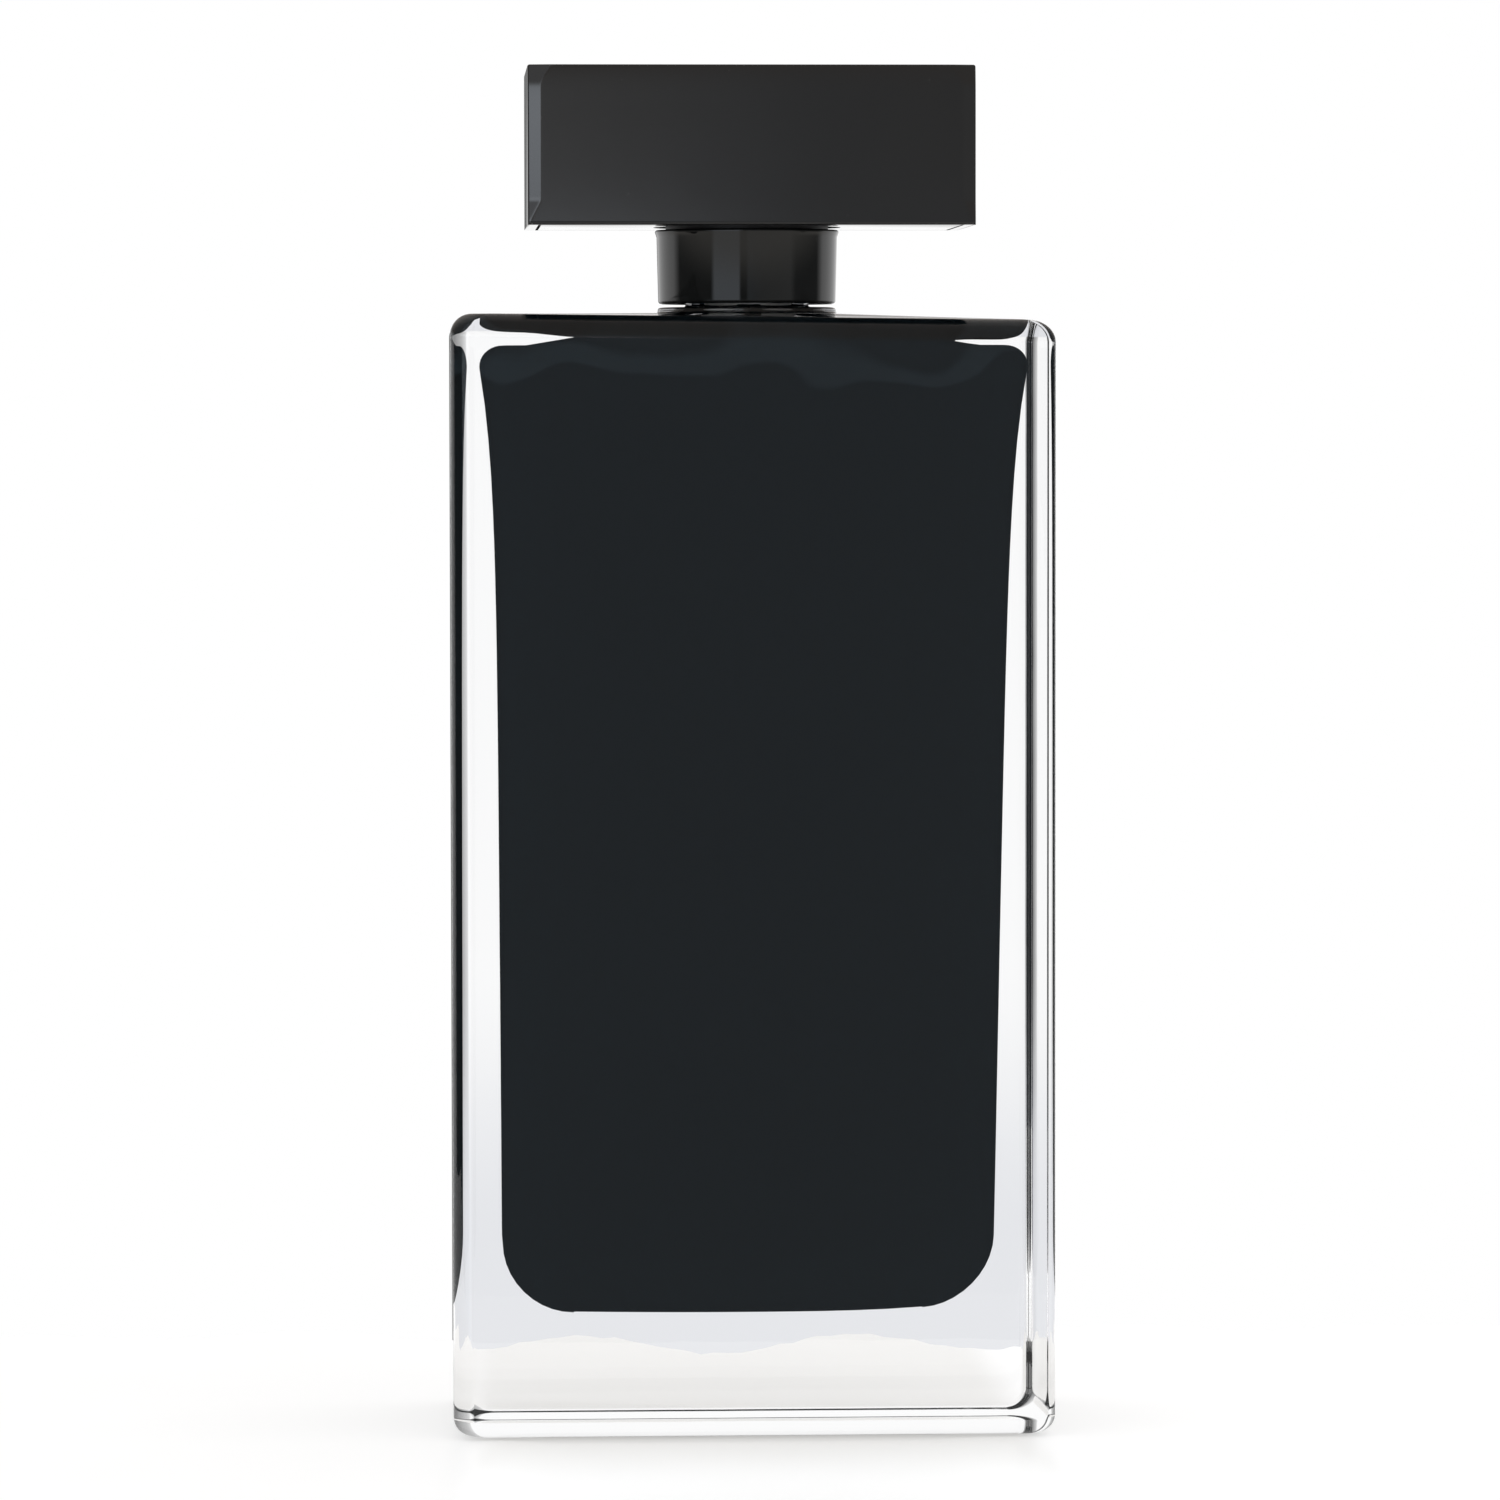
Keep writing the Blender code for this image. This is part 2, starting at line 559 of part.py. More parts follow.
def main():
    clear_scene()
    glass = make_material("clear_glass", (0.90, 0.93, 0.92), 0.02, alpha=0.35)
    lacquer = make_material("black_lacquer", (0.010, 0.012, 0.014), 0.12)
    cap_plastic = make_material("cap_plastic", (0.020, 0.020, 0.021), 0.14)
    collar_plastic = make_material("collar_plastic", (0.010, 0.011, 0.012), 0.08)
    inner_plastic = make_material("inner_plastic", (0.035, 0.035, 0.038), 0.45)
    pump_plastic = make_material("pump_plastic", (0.80, 0.80, 0.78), 0.40)
    tube_plastic = make_material("tube_plastic", (0.72, 0.74, 0.74), 0.25)
    rubber = make_material("seal_rubber", (0.75, 0.74, 0.70), 0.60)
    aluminium = make_material("ferrule_aluminium", (0.80, 0.80, 0.80), 0.28, 1.0)
    steel = make_material("spring_steel", (0.60, 0.60, 0.60), 0.25, 1.0)
    iron = make_material("weight_metal", (0.30, 0.30, 0.31), 0.50, 1.0)

    build_glass(glass)
    build_lacquer(lacquer)
    build_gasket(rubber)
    build_ferrule(aluminium)
    build_housing(pump_plastic)
    build_retainer(pump_plastic)
    build_dip_tube(tube_plastic)
    build_spring(steel)
    build_ball(steel, add_axis("ball_lift"))

    stem_axis = add_axis("stem_slide")
    build_piston(pump_plastic, stem_axis)
    build_stem(pump_plastic, stem_axis)
    build_actuator(inner_plastic, collar_plastic, pump_plastic, add_axis("actuator_turn", stem_axis))

    collar_axis = add_axis("collar_turn")
    build_collar_shell(collar_plastic, collar_axis)
    build_collar_insert(inner_plastic, collar_axis)
    build_cap(cap_plastic, inner_plastic, iron, inner_plastic, add_axis("cap_lift", collar_axis))


main()
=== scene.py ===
"""Finish for a thick glass aftershave spray bottle: glass, inner coat, collar, pump, button and cap.

Metres, +Z up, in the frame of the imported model. The front of the bottle faces -Y.
"""

import math

import bmesh
import bpy
from bpy.props import FloatProperty, FloatVectorProperty, IntProperty, PointerProperty
from mathutils import Matrix, Vector


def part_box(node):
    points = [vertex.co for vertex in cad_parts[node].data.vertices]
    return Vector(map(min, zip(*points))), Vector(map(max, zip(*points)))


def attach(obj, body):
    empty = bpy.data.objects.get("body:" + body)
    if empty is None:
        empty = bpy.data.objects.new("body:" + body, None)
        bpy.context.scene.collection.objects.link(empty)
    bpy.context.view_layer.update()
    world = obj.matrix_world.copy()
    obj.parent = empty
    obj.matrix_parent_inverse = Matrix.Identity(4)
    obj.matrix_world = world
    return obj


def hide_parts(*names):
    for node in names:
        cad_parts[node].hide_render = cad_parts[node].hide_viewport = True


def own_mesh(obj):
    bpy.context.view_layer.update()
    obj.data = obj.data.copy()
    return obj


bl_info = {
    "name": "Glass Spray Bottle Finish",
    "version": (1, 0, 0),
    "blender": (4, 5, 0),
    "location": "View3D > Sidebar > Bottle",
    "description": "Builds the smooth glass, coat, collar, pump, button and cap round the packed model",
    "category": "Object",
}

MM = 0.001
HAIR = 1e-6
ALONG_Y = Matrix.Rotation(math.pi / 2, 4, "X")

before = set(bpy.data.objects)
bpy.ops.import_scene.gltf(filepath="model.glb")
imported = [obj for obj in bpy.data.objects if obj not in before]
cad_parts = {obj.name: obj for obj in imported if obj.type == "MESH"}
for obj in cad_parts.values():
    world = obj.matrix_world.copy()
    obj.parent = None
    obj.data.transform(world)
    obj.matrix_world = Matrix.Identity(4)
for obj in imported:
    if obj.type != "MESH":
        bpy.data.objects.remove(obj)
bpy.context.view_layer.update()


# Shapes


def new_body(low, high):
    """A bmesh box between two corners."""
    shape = bmesh.new()
    bmesh.ops.create_cube(shape, size=1.0)
    bmesh.ops.scale(shape, vec=high - low, verts=shape.verts)
    bmesh.ops.translate(shape, vec=(high + low) / 2, verts=shape.verts)
    return shape


def round_edges(shape, edges, radius, segments):
    """Rounds edges to a radius."""
    bmesh.ops.bevel(
        shape,
        geom=list(edges),
        offset=radius,
        offset_type="OFFSET",
        segments=segments,
        profile=0.5,
        affect="EDGES",
        material=-1,
    )


def upright_edges(shape):
    """The edges that run straight up."""
    found = []
    for edge in shape.edges:
        run = edge.verts[1].co - edge.verts[0].co
        if abs(run.x) < HAIR and abs(run.y) < HAIR:
            found.append(edge)
    return found


def level_face(shape, height):
    """The one flat level face at the given height."""
    faces = [
        face for face in shape.faces
        if abs(face.calc_center_median().z - height) < HAIR and abs(face.normal.z) > 0.999
    ]
    return max(faces, key=lambda face: face.calc_area())


def rounded_block(low, high, side_radius, top_radius, bottom_radius, segments):
    """A box with rounded upright edges, top rim and bottom rim."""
    shape = new_body(low, high)
    round_edges(shape, upright_edges(shape), side_radius, segments)
    shape.normal_update()
    round_edges(shape, level_face(shape, high.z).edges, top_radius, segments)
    shape.normal_update()
    round_edges(shape, level_face(shape, low.z).edges, bottom_radius, segments)
    shape.normal_update()
    return shape


def slice_body(shape, axis, places):
    """Adds an edge loop across the shape at each place along an axis."""
    normal = Vector((0.0, 0.0, 0.0))
    normal[axis] = 1.0
    for place in places:
        geometry = shape.verts[:] + shape.edges[:] + shape.faces[:]
        bmesh.ops.bisect_plane(shape, geom=geometry, dist=HAIR, plane_co=normal * place, plane_no=normal)


def even_places(start, end, count):
    """Evenly spaced places between two ends, which are left out."""
    return [start + (end - start) * (i + 1) / (count + 1) for i in range(count)]


def open_top(shape, height):
    """Removes the level face at the top and returns its rim."""
    face = level_face(shape, height)
    rim = list(face.edges)
    bmesh.ops.delete(shape, geom=[face], context="FACES_ONLY")
    return rim


def add_ring(shape, radius, height, count):
    """Adds a level ring of edges round Z and returns it."""
    made = bmesh.ops.create_circle(
        shape, cap_ends=False, radius=radius, segments=count, matrix=Matrix.Translation((0, 0, height))
    )
    return list({edge for vert in made["verts"] for edge in vert.link_edges})


def grow_ring(shape, ring, radius, height):
    """Extrudes a round rim to a new radius and height and returns the new rim."""
    made = bmesh.ops.extrude_edge_only(shape, edges=ring)["geom"]
    for vert in made:
        if isinstance(vert, bmesh.types.BMVert):
            flat = Vector((vert.co.x, vert.co.y, 0.0)).normalized()
            vert.co = flat * radius + Vector((0.0, 0.0, height))
    return [edge for edge in made if isinstance(edge, bmesh.types.BMEdge)]


def arc(radius, height, size, start, end, steps):
    """(radius, height) points on an arc round a centre, with angles in degrees."""
    angles = [math.radians(start + (end - start) * i / steps) for i in range(steps + 1)]
    return [(radius + size * math.cos(a), height + size * math.sin(a)) for a in angles]


def soften(profile, radius):
    """The same profile with small rounded corners. Its ends stay sharp where they lie on the axis."""
    closed = profile[0][0] > 0.0 or profile[-1][0] > 0.0
    points = []
    for i, point in enumerate(profile):
        if not closed and i in (0, len(profile) - 1):
            points.append(point)
            continue
        here = Vector(point)
        before = Vector(profile[i - 1]) - here
        after = Vector(profile[(i + 1) % len(profile)]) - here
        reach = min(radius, 0.45 * before.length, 0.45 * after.length)
        start, end = here + before.normalized() * reach, here + after.normalized() * reach
        for step in range(5):
            u = step / 4
            points.append(tuple(start * (1 - u) ** 2 + here * (2 * u * (1 - u)) + end * u**2))
    return points


def in_mm(points):
    """Metres, from points that are stated in millimetres."""
    return [(radius * MM, height * MM) for radius, height in points]


def lathe(profile, steps):
    """A bmesh turned round Z from (radius, height) points, closed unless both ends lie on the axis."""
    shape = bmesh.new()
    points = [shape.verts.new((radius, 0.0, height)) for radius, height in profile]
    edges = [shape.edges.new(pair) for pair in zip(points, points[1:])]
    if profile[0][0] > 0.0 or profile[-1][0] > 0.0:
        edges.append(shape.edges.new((points[-1], points[0])))
    bmesh.ops.spin(
        shape,
        geom=points + edges,
        axis=(0, 0, 1),
        cent=(0, 0, 0),
        angle=math.tau,
        steps=steps,
        use_merge=True,
    )
    return shape


def coil(radius, wire, low, high, turns):
    """A closed coil of round wire between two heights."""
    shape = bmesh.new()
    steps, rise = 24 * turns, high - low - 2 * wire
    loops = []
    for i in range(steps + 1):
        turn = math.tau * turns * i / steps
        out = Vector((math.cos(turn), math.sin(turn), 0.0))
        centre = out * radius + Vector((0.0, 0.0, low + wire + rise * i / steps))
        points = [
            shape.verts.new(centre + out * across + Vector((0.0, 0.0, up)))
            for across, up in arc(0.0, 0.0, wire, 0, 330, 11)
        ]
        loops.append([shape.edges.new((points[k - 1], points[k])) for k in range(len(points))])
    for lower, upper in zip(loops, loops[1:]):
        bmesh.ops.bridge_loops(shape, edges=lower + upper)
    for end in (loops[0], loops[-1]):
        bmesh.ops.edgeloop_fill(shape, edges=end)
    return shape


def drill(shape, radius, start, end, height):
    """Takes a round hole along Y out of a shape."""
    place = Matrix.Translation((0, (start + end) / 2, height)) @ ALONG_Y
    return carve(shape, rod(radius, end - start, place))


def rod(radius, length, place):
    """A solid round bar about the origin along Z, moved by a matrix."""
    shape = bmesh.new()
    bmesh.ops.create_cone(
        shape, cap_ends=True, segments=64, radius1=radius, radius2=radius, depth=length, matrix=place
    )
    return shape


def carve(shape, cutter):
    """Takes the cutter's body out of the shape."""
    items = []
    for part in (shape, cutter):
        bmesh.ops.recalc_face_normals(part, faces=part.faces)
        mesh = bpy.data.meshes.new("carving")
        part.to_mesh(mesh)
        part.free()
        items.append(bpy.data.objects.new("carving", mesh))
        bpy.context.scene.collection.objects.link(items[-1])
    hole = items[0].modifiers.new("hole", "BOOLEAN")
    hole.operation = "DIFFERENCE"
    hole.solver = "EXACT"
    hole.object = items[1]
    result = bmesh.new()
    result.from_object(items[0], bpy.context.evaluated_depsgraph_get())
    for item in items:
        mesh = item.data
        bpy.data.objects.remove(item)
        bpy.data.meshes.remove(mesh)
    return result


def dress(node, material):
    """Gives a CAD node that stays a new material."""
    for place in bpy.data.objects[node].material_slots:
        place.material = material


def finish_piece(name, shape, body, replaced, material, smooth_angle=35.0):
    """Turns a bmesh into a piece that rides on a body and stands for CAD nodes."""
    bmesh.ops.remove_doubles(shape, verts=shape.verts, dist=HAIR)
    bmesh.ops.recalc_face_normals(shape, faces=shape.faces)
    mesh = bpy.data.meshes.new(name)
    shape.to_mesh(mesh)
    shape.free()
    mesh.shade_smooth()
    mesh.set_sharp_from_angle(angle=math.radians(smooth_angle))
    mesh.materials.append(material)
    piece = bpy.data.objects.new(name, mesh)
    bpy.context.scene.collection.objects.link(piece)
    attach(piece, body)
    if replaced:
        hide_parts(*replaced)
    return piece


# Shader nodes


class Value:
    """A socket that takes part in Python arithmetic through Math nodes."""

    def __init__(self, graph, socket):
        self.graph = graph
        self.socket = socket

    def math(self, operation, *others):
        inputs = {0: self}
        inputs.update({i + 1: other for i, other in enumerate(others)})
        return self.graph.value("ShaderNodeMath", {"operation": operation}, inputs)

    def __add__(self, other):
        return self.math("ADD", other)

    def __mul__(self, other):
        return self.math("MULTIPLY", other)

    def __sub__(self, other):
        return self.math("SUBTRACT", other)

    def __rsub__(self, other):
        return self.graph.value("ShaderNodeMath", {"operation": "SUBTRACT"}, {0: other, 1: self})

    __radd__ = __add__
    __rmul__ = __mul__


class Graph:
    """The node tree of a material or a world."""

    def __init__(self, tree):
        self.tree = tree
        tree.nodes.clear()

    def node(self, kind, settings=None, inputs=None):
        """Adds a node: its settings and ramp stops first, then the values or links of its sockets."""
        made = self.tree.nodes.new(kind)
        for key, setting in (settings or {}).items():
            if key == "stops":
                ramp = made.color_ramp
                while len(ramp.elements) < len(setting):
                    ramp.elements.new(1.0)
                for element, (place, colour) in zip(ramp.elements, setting):
                    element.position = place
                    element.color = (*colour, 1.0)
            elif key == "interpolation":
                made.color_ramp.interpolation = setting
            else:
                setattr(made, key, setting)
        for key, given in (inputs or {}).items():
            socket = made.inputs[key]
            if isinstance(given, Value):
                self.tree.links.new(given.socket, socket)
            elif isinstance(given, bpy.types.NodeSocket):
                self.tree.links.new(given, socket)
            else:
                socket.default_value = given
        return made

    def value(self, kind, settings=None, inputs=None):
        """Adds a node and wraps its first output."""
        return Value(self, self.node(kind, settings, inputs).outputs[0])

    def place(self, scale=(1.0, 1.0, 1.0)):
        """Object coordinates, stretched by a scale."""
        coordinates = self.node("ShaderNodeTexCoord").outputs["Object"]
        return self.node("ShaderNodeMapping", None, {"Vector": coordinates, "Scale": scale}).outputs[0]

    def noise(self, size, detail=3.0, roughness=0.5, stretch=(1.0, 1.0, 1.0)):
        """Noise with features of about the given size in metres, from 0 to 1."""
        scale = 1.0 / size
        inputs = {"Vector": self.place(stretch), "Scale": scale, "Detail": detail, "Roughness": roughness}
        return self.value("ShaderNodeTexNoise", {"noise_dimensions": "3D"}, inputs)

    def blend(self, factor, first, second):
        """A mix of two colours."""
        settings = {"data_type": "RGBA", "clamp_factor": True}
        inputs = {0: factor, 6: colour4(first), 7: colour4(second)}
        return Value(self, self.node("ShaderNodeMix", settings, inputs).outputs[2])

    def ramp(self, factor, low, high):
        """A smooth step from 0 to 1 between two values."""
        inputs = {"Value": factor, "From Min": low, "From Max": high, "To Min": 0.0, "To Max": 1.0}
        return self.value("ShaderNodeMapRange", {"interpolation_type": "SMOOTHSTEP"}, inputs)

    def bump(self, height, distance, strength=1.0):
        """A bump of the given height in metres."""
        inputs = {"Height": height, "Distance": distance, "Strength": strength}
        return self.value("ShaderNodeBump", None, inputs)

    def surface(self, inputs):
        """Ends a material with its Principled shader."""
        shader = self.node("ShaderNodeBsdfPrincipled", None, inputs)
        self.node("ShaderNodeOutputMaterial", None, {"Surface": shader.outputs[0]})


def colour4(given):
    """A colour with its alpha, or a linked value as it is."""
    if isinstance(given, Value):
        return given
    return (*given, 1.0) if len(given) == 3 else tuple(given)


def new_material(name):
    material = bpy.data.materials.new(name)
    material.use_nodes = True
    return material, Graph(material.node_tree)


def clear_glass(look):
    """Thick clear glass with the faint waves of a fire-polished moulding."""
    material, graph = new_material("clear_glass")
    waves = graph.noise(28 * MM, 2.0) + 0.25 * graph.noise(7 * MM, 2.0)
    cloud = graph.noise(60 * MM, 2.0)
    graph.surface(
        {
            "Base Color": graph.blend(cloud, look.glass_tint, tuple(0.5 + 0.5 * c for c in look.glass_tint)),
            "Roughness": graph.ramp(graph.noise(18 * MM, 4.0), 0.55, 0.9) * 0.01,
            "IOR": 1.5,
            "Transmission Weight": 1.0,
            "Normal": graph.bump(waves, 0.02 * MM),
        }
    )
    return material


def black_lacquer(look):
    """The black coat as it looks through the glass, with a wavy paler bluish band near the top that is a
    painted reflection.
    """
    material, graph = new_material("black_lacquer")
    cloud = graph.noise(25 * MM)
    height = Value(graph, graph.node("ShaderNodeSeparateXYZ", None, {0: graph.place()}).outputs[2])
    wander = graph.noise(16 * MM, 1.0) * 0.016
    # Painted reflection: a wavy paler bluish band under the top of the coat stands in for light reflected
    # inside the glass.
    above_lower_edge = graph.ramp(height + wander, 0.1250, 0.1258)
    above_upper_edge = graph.ramp(height + wander * 1.4, 0.1302, 0.1322)
    painted_reflection_band = above_lower_edge - above_upper_edge
    shade = graph.blend(cloud, look.coat_colour, tuple(1.25 * c for c in look.coat_colour))
    graph.surface(
        {
            "Base Color": graph.blend(painted_reflection_band.math("MAXIMUM", 0.0) * 0.8, shade, (0.022, 0.034, 0.042)),
            "Roughness": 0.12 + 0.1 * graph.noise(12 * MM),
            "Specular IOR Level": 0.0,
        }
    )
    return material


def polished_plastic(name, colour, roughness):
    """Polished black moulding with a soft flow pattern, hairline marks and a little dust."""
    material, graph = new_material(name)
    flow = graph.noise(14 * MM, 3.0)
    marks = graph.ramp(graph.noise(0.5 * MM, 2.0, stretch=(0.08, 1.0, 1.0)), 0.66, 0.8)
    dust = graph.ramp(graph.noise(0.35 * MM, 1.0), 0.80, 0.86)
    shade = graph.blend(flow, colour, tuple(1.2 * c for c in colour))
    graph.surface(
        {
            "Base Color": graph.blend(dust * 0.3, shade, (0.12, 0.12, 0.12)),
            "Roughness": roughness + 0.03 * flow + 0.03 * marks + 0.2 * dust,
            "Normal": graph.bump(flow, 0.01 * MM, 0.5),
        }
    )
    return material


def satin_plastic(look):
    """Black moulding with a fine spark-eroded grain, paler where it rubs."""
    material, graph = new_material("inner_plastic")
    grain = graph.noise(0.25 * MM, 4.0, 0.6)
    cloud = graph.noise(8 * MM, 3.0)
    rub = graph.ramp(graph.noise(2.5 * MM, 4.0, 0.65), 0.55, 0.8)
    shade = graph.blend(cloud, look.inner_colour, tuple(1.5 * c for c in look.inner_colour))
    graph.surface(
        {
            "Base Color": graph.blend(rub * 0.25, shade, (0.09, 0.09, 0.09)),
            "Roughness": 0.42 + 0.12 * grain - 0.1 * rub,
            "Normal": graph.bump(grain, 0.03 * MM, 0.7),
        }
    )
    return material


def pump_plastic(look):
    """Milky moulded plastic with faint flow lines and a waxy surface."""
    material, graph = new_material("pump_plastic")
    flow = graph.noise(5 * MM, 4.0, stretch=(1.0, 1.0, 0.3))
    specks = graph.ramp(graph.noise(0.6 * MM, 2.0), 0.7, 0.8)
    shade = graph.blend(flow, look.pump_colour, tuple(0.9 * c for c in look.pump_colour))
    graph.surface(
        {
            "Base Color": graph.blend(specks * 0.3, shade, (0.55, 0.53, 0.48)),
            "Roughness": 0.34 + 0.14 * flow,
            "Subsurface Weight": 0.15,
            "Subsurface Radius": (0.0012, 0.001, 0.0009),
            "Normal": graph.bump(flow, 0.03 * MM, 0.6),
        }
    )
    return material


def tube_plastic():
    """Cloudy see-through tube, with the fine draw lines of extrusion."""
    material, graph = new_material("tube_plastic")
    lines = graph.noise(0.5 * MM, 3.0, stretch=(1.0, 1.0, 0.02))
    cloud = graph.noise(6 * MM, 3.0)
    graph.surface(
        {
            "Base Color": graph.blend(cloud, (0.86, 0.88, 0.88), (0.74, 0.77, 0.77)),
            "Roughness": 0.18 + 0.14 * lines,
            "IOR": 1.5,
            "Transmission Weight": 0.55,
            "Normal": graph.bump(lines, 0.02 * MM, 0.7),
        }
    )
    return material


def seal_rubber():
    """Pale soft seal with a dusty bloom."""
    material, graph = new_material("seal_rubber")
    bloom = graph.noise(1.4 * MM, 4.0, 0.65)
    pores = graph.noise(0.2 * MM, 3.0)
    graph.surface(
        {
            "Base Color": graph.blend(bloom, (0.60, 0.57, 0.50), (0.74, 0.72, 0.67)),
            "Roughness": 0.58 + 0.22 * bloom,
            "Normal": graph.bump(pores, 0.04 * MM, 0.8),
        }
    )
    return material


def spun_metal(name, colour, roughness, stretch):
    """Bright metal with tool lines along its stretch and a few dull patches."""
    material, graph = new_material(name)
    lines = graph.noise(0.3 * MM, 4.0, 0.6, stretch=stretch)
    dull = graph.ramp(graph.noise(4 * MM, 4.0), 0.5, 0.8)
    graph.surface(
        {
            "Base Color": graph.blend(dull * 0.5, colour, tuple(0.7 * c for c in colour)),
            "Metallic": 1.0,
            "Roughness": roughness + 0.12 * lines + 0.15 * dull,
            "Normal": graph.bump(lines, 0.01 * MM, 0.8),
        }
    )
    return material


def cast_metal():
    """Tumbled grey casting with a pitted skin and brighter high spots."""
    material, graph = new_material("weight_metal")
    skin = graph.noise(0.8 * MM, 5.0, 0.7)
    patches = graph.noise(5 * MM, 4.0)
    bright = graph.ramp(skin, 0.55, 0.75)
    graph.surface(
        {
            "Base Color": graph.blend(patches, (0.22, 0.22, 0.23), (0.38, 0.38, 0.38)),
            "Metallic": 0.9,
            "Roughness": 0.62 - 0.2 * bright,
            "Normal": graph.bump(skin, 0.08 * MM, 0.8),
        }
    )
    return material


# Sizes and colours


class LookSettings(bpy.types.PropertyGroup):
    """Colours and finishes of the bottle."""

    glass_tint: FloatVectorProperty(
        name="Glass Tint", description="Colour that the clear glass lets through", subtype="COLOR",
        default=(0.985, 0.988, 0.992),
    )
    coat_colour: FloatVectorProperty(
        name="Coat Colour", description="Black coat inside the glass", subtype="COLOR",
        default=(0.0058, 0.0104, 0.0135),
    )
    cap_colour: FloatVectorProperty(
        name="Cap Colour", description="Polished plastic of the cap", subtype="COLOR",
        default=(0.0094, 0.0092, 0.0092),
    )
    collar_colour: FloatVectorProperty(
        name="Collar Colour", description="High-gloss collar and button", subtype="COLOR",
        default=(0.0035, 0.0040, 0.0040),
    )
    inner_colour: FloatVectorProperty(
        name="Inner Colour", description="Satin plastic inside the collar, the cap and the button",
        subtype="COLOR", default=(0.016, 0.016, 0.017),
    )
    pump_colour: FloatVectorProperty(
        name="Pump Colour", description="Milky plastic of the pump", subtype="COLOR",
        default=(0.80, 0.79, 0.75),
    )
    turned_steps: IntProperty(
        name="Turned Steps", description="Facets round a turned piece", default=96, min=24,
    )


class GlassSettings(bpy.types.PropertyGroup):
    """Shape of the glass that the frame doesn't state."""

    shoulder_height: FloatProperty(
        name="Shoulder Height", description="Top of the shoulder above the base", default=125.0 * MM,
        unit="LENGTH", precision=5,
    )
    edge_radius: FloatProperty(
        name="Edge Radius", description="Rounding of the upright edge at the front left",
        default=2.25 * MM, unit="LENGTH", precision=5,
    )
    rim_radius: FloatProperty(
        name="Rim Radius", description="Rounding of the shoulder's rim", default=2.5 * MM,
        unit="LENGTH", precision=5,
    )
    heel_radius: FloatProperty(
        name="Heel Radius", description="Rounding of the base at its two sides", default=2.4 * MM,
        unit="LENGTH", precision=5,
    )
    draw_in: FloatProperty(
        name="Draw In", description="How far the right-hand side stands in at the rear",
        default=1.2 * MM, unit="LENGTH", precision=5,
    )
    crown: FloatProperty(
        name="Crown", description="How far the shoulder drops at its ends, on average",
        default=0.56 * MM, unit="LENGTH", precision=5,
    )
    wall_bite: FloatProperty(
        name="Coat Bond", description="Overlap of coat and glass, so that no air shows between them",
        default=0.05 * MM, unit="LENGTH", precision=5,
    )


class CapSettings(bpy.types.PropertyGroup):
    """Shape of the cap that the frame doesn't state."""

    edge_radius: FloatProperty(
        name="Edge Radius", description="Rounding of the cap's edges", default=0.25 * MM,
        unit="LENGTH", precision=5,
    )
    bevel_reach: FloatProperty(
        name="Bevel Reach", description="Width of the soft bevel at the ends of the long faces",
        default=1.45 * MM, unit="LENGTH", precision=5,
    )
    bevel_slope: FloatProperty(
        name="Bevel Slope", description="Fall of the soft bevel for each unit of width", default=0.18,
    )
    pillow: FloatProperty(
        name="Pillow", description="How far the long faces fall away towards the top",
        default=0.2 * MM, unit="LENGTH", precision=5,
    )
    wall: FloatProperty(
        name="Wall", description="Thickness of the cap's walls", default=1.2 * MM, unit="LENGTH", precision=5,
    )


class ButtonSettings(bpy.types.PropertyGroup):
    """Shape of the spray button that the frame doesn't state."""

    rim_radius: FloatProperty(
        name="Rim Radius", description="Rounding of the button's rim", default=0.5 * MM,
        unit="LENGTH", precision=5,
    )
    dish: FloatProperty(
        name="Dish", description="Depth of the hollow for the fingertip", default=0.4 * MM,
        unit="LENGTH", precision=5,
    )
    window_radius: FloatProperty(
        name="Window Radius", description="Radius of the nozzle's window", default=1.7 * MM, unit="LENGTH",
        precision=5,
    )


class StageSettings(bpy.types.PropertyGroup):
    """Camera and studio."""

    azimuth: FloatProperty(
        name="Azimuth", description="Camera's turn round the bottle", default=math.radians(-2.6),
        subtype="ANGLE",
    )
    distance: FloatProperty(
        name="Distance", description="Camera's distance from the bottle's axis", default=0.800, unit="LENGTH",
    )
    height: FloatProperty(
        name="Height", description="Camera's height above the bottle's base", default=0.1151,
        unit="LENGTH", precision=5,
    )
    pitch: FloatProperty(
        name="Pitch", description="How far the camera looks down", default=math.radians(2.812),
        subtype="ANGLE",
    )
    roll: FloatProperty(
        name="Roll", description="Camera's roll", default=math.radians(-0.08), subtype="ANGLE",
    )
    lens: FloatProperty(
        name="Lens", description="Focal length on a 36 mm sensor", default=170.1, min=20.0, unit="CAMERA",
    )
    side_step: FloatProperty(
        name="Side Step", description="Camera's offset to the right of the bottle's axis", default=0.00028,
        unit="LENGTH", precision=5,
    )


# Glass and coat

CAVITY_FLOOR = 13.45 * MM
CAVITY_CEILING = 121.05 * MM
CAVITY_HUMP = 1.5 * MM  # rise of the ceiling between its ends
CAVITY_HALF_WIDTH = 27.1 * MM
CAVITY_HALF_DEPTH = 12.0 * MM
CAVITY_TAPER = 0.012
CAVITY_FLARE = 2.2 * MM
CAVITY_FLARE_LENGTH = 10.5 * MM
CAVITY_SIDE_RADIUS = 6.2 * MM
CAVITY_FLOOR_RADIUS = 7.6 * MM
CAVITY_LEAN = 0.0075  # sideways run for each unit of height
CAVITY_TOP_RADIUS = 2.4 * MM
FUNNEL_RADIUS = 10.5 * MM
BORE_RADIUS = 4.8 * MM


def cavity_spread(height):
    """How much wider the hollow is at a height than its driving half width."""
    rise = height - CAVITY_FLOOR
    return CAVITY_TAPER * rise + CAVITY_FLARE * math.exp((height - CAVITY_CEILING) / CAVITY_FLARE_LENGTH)


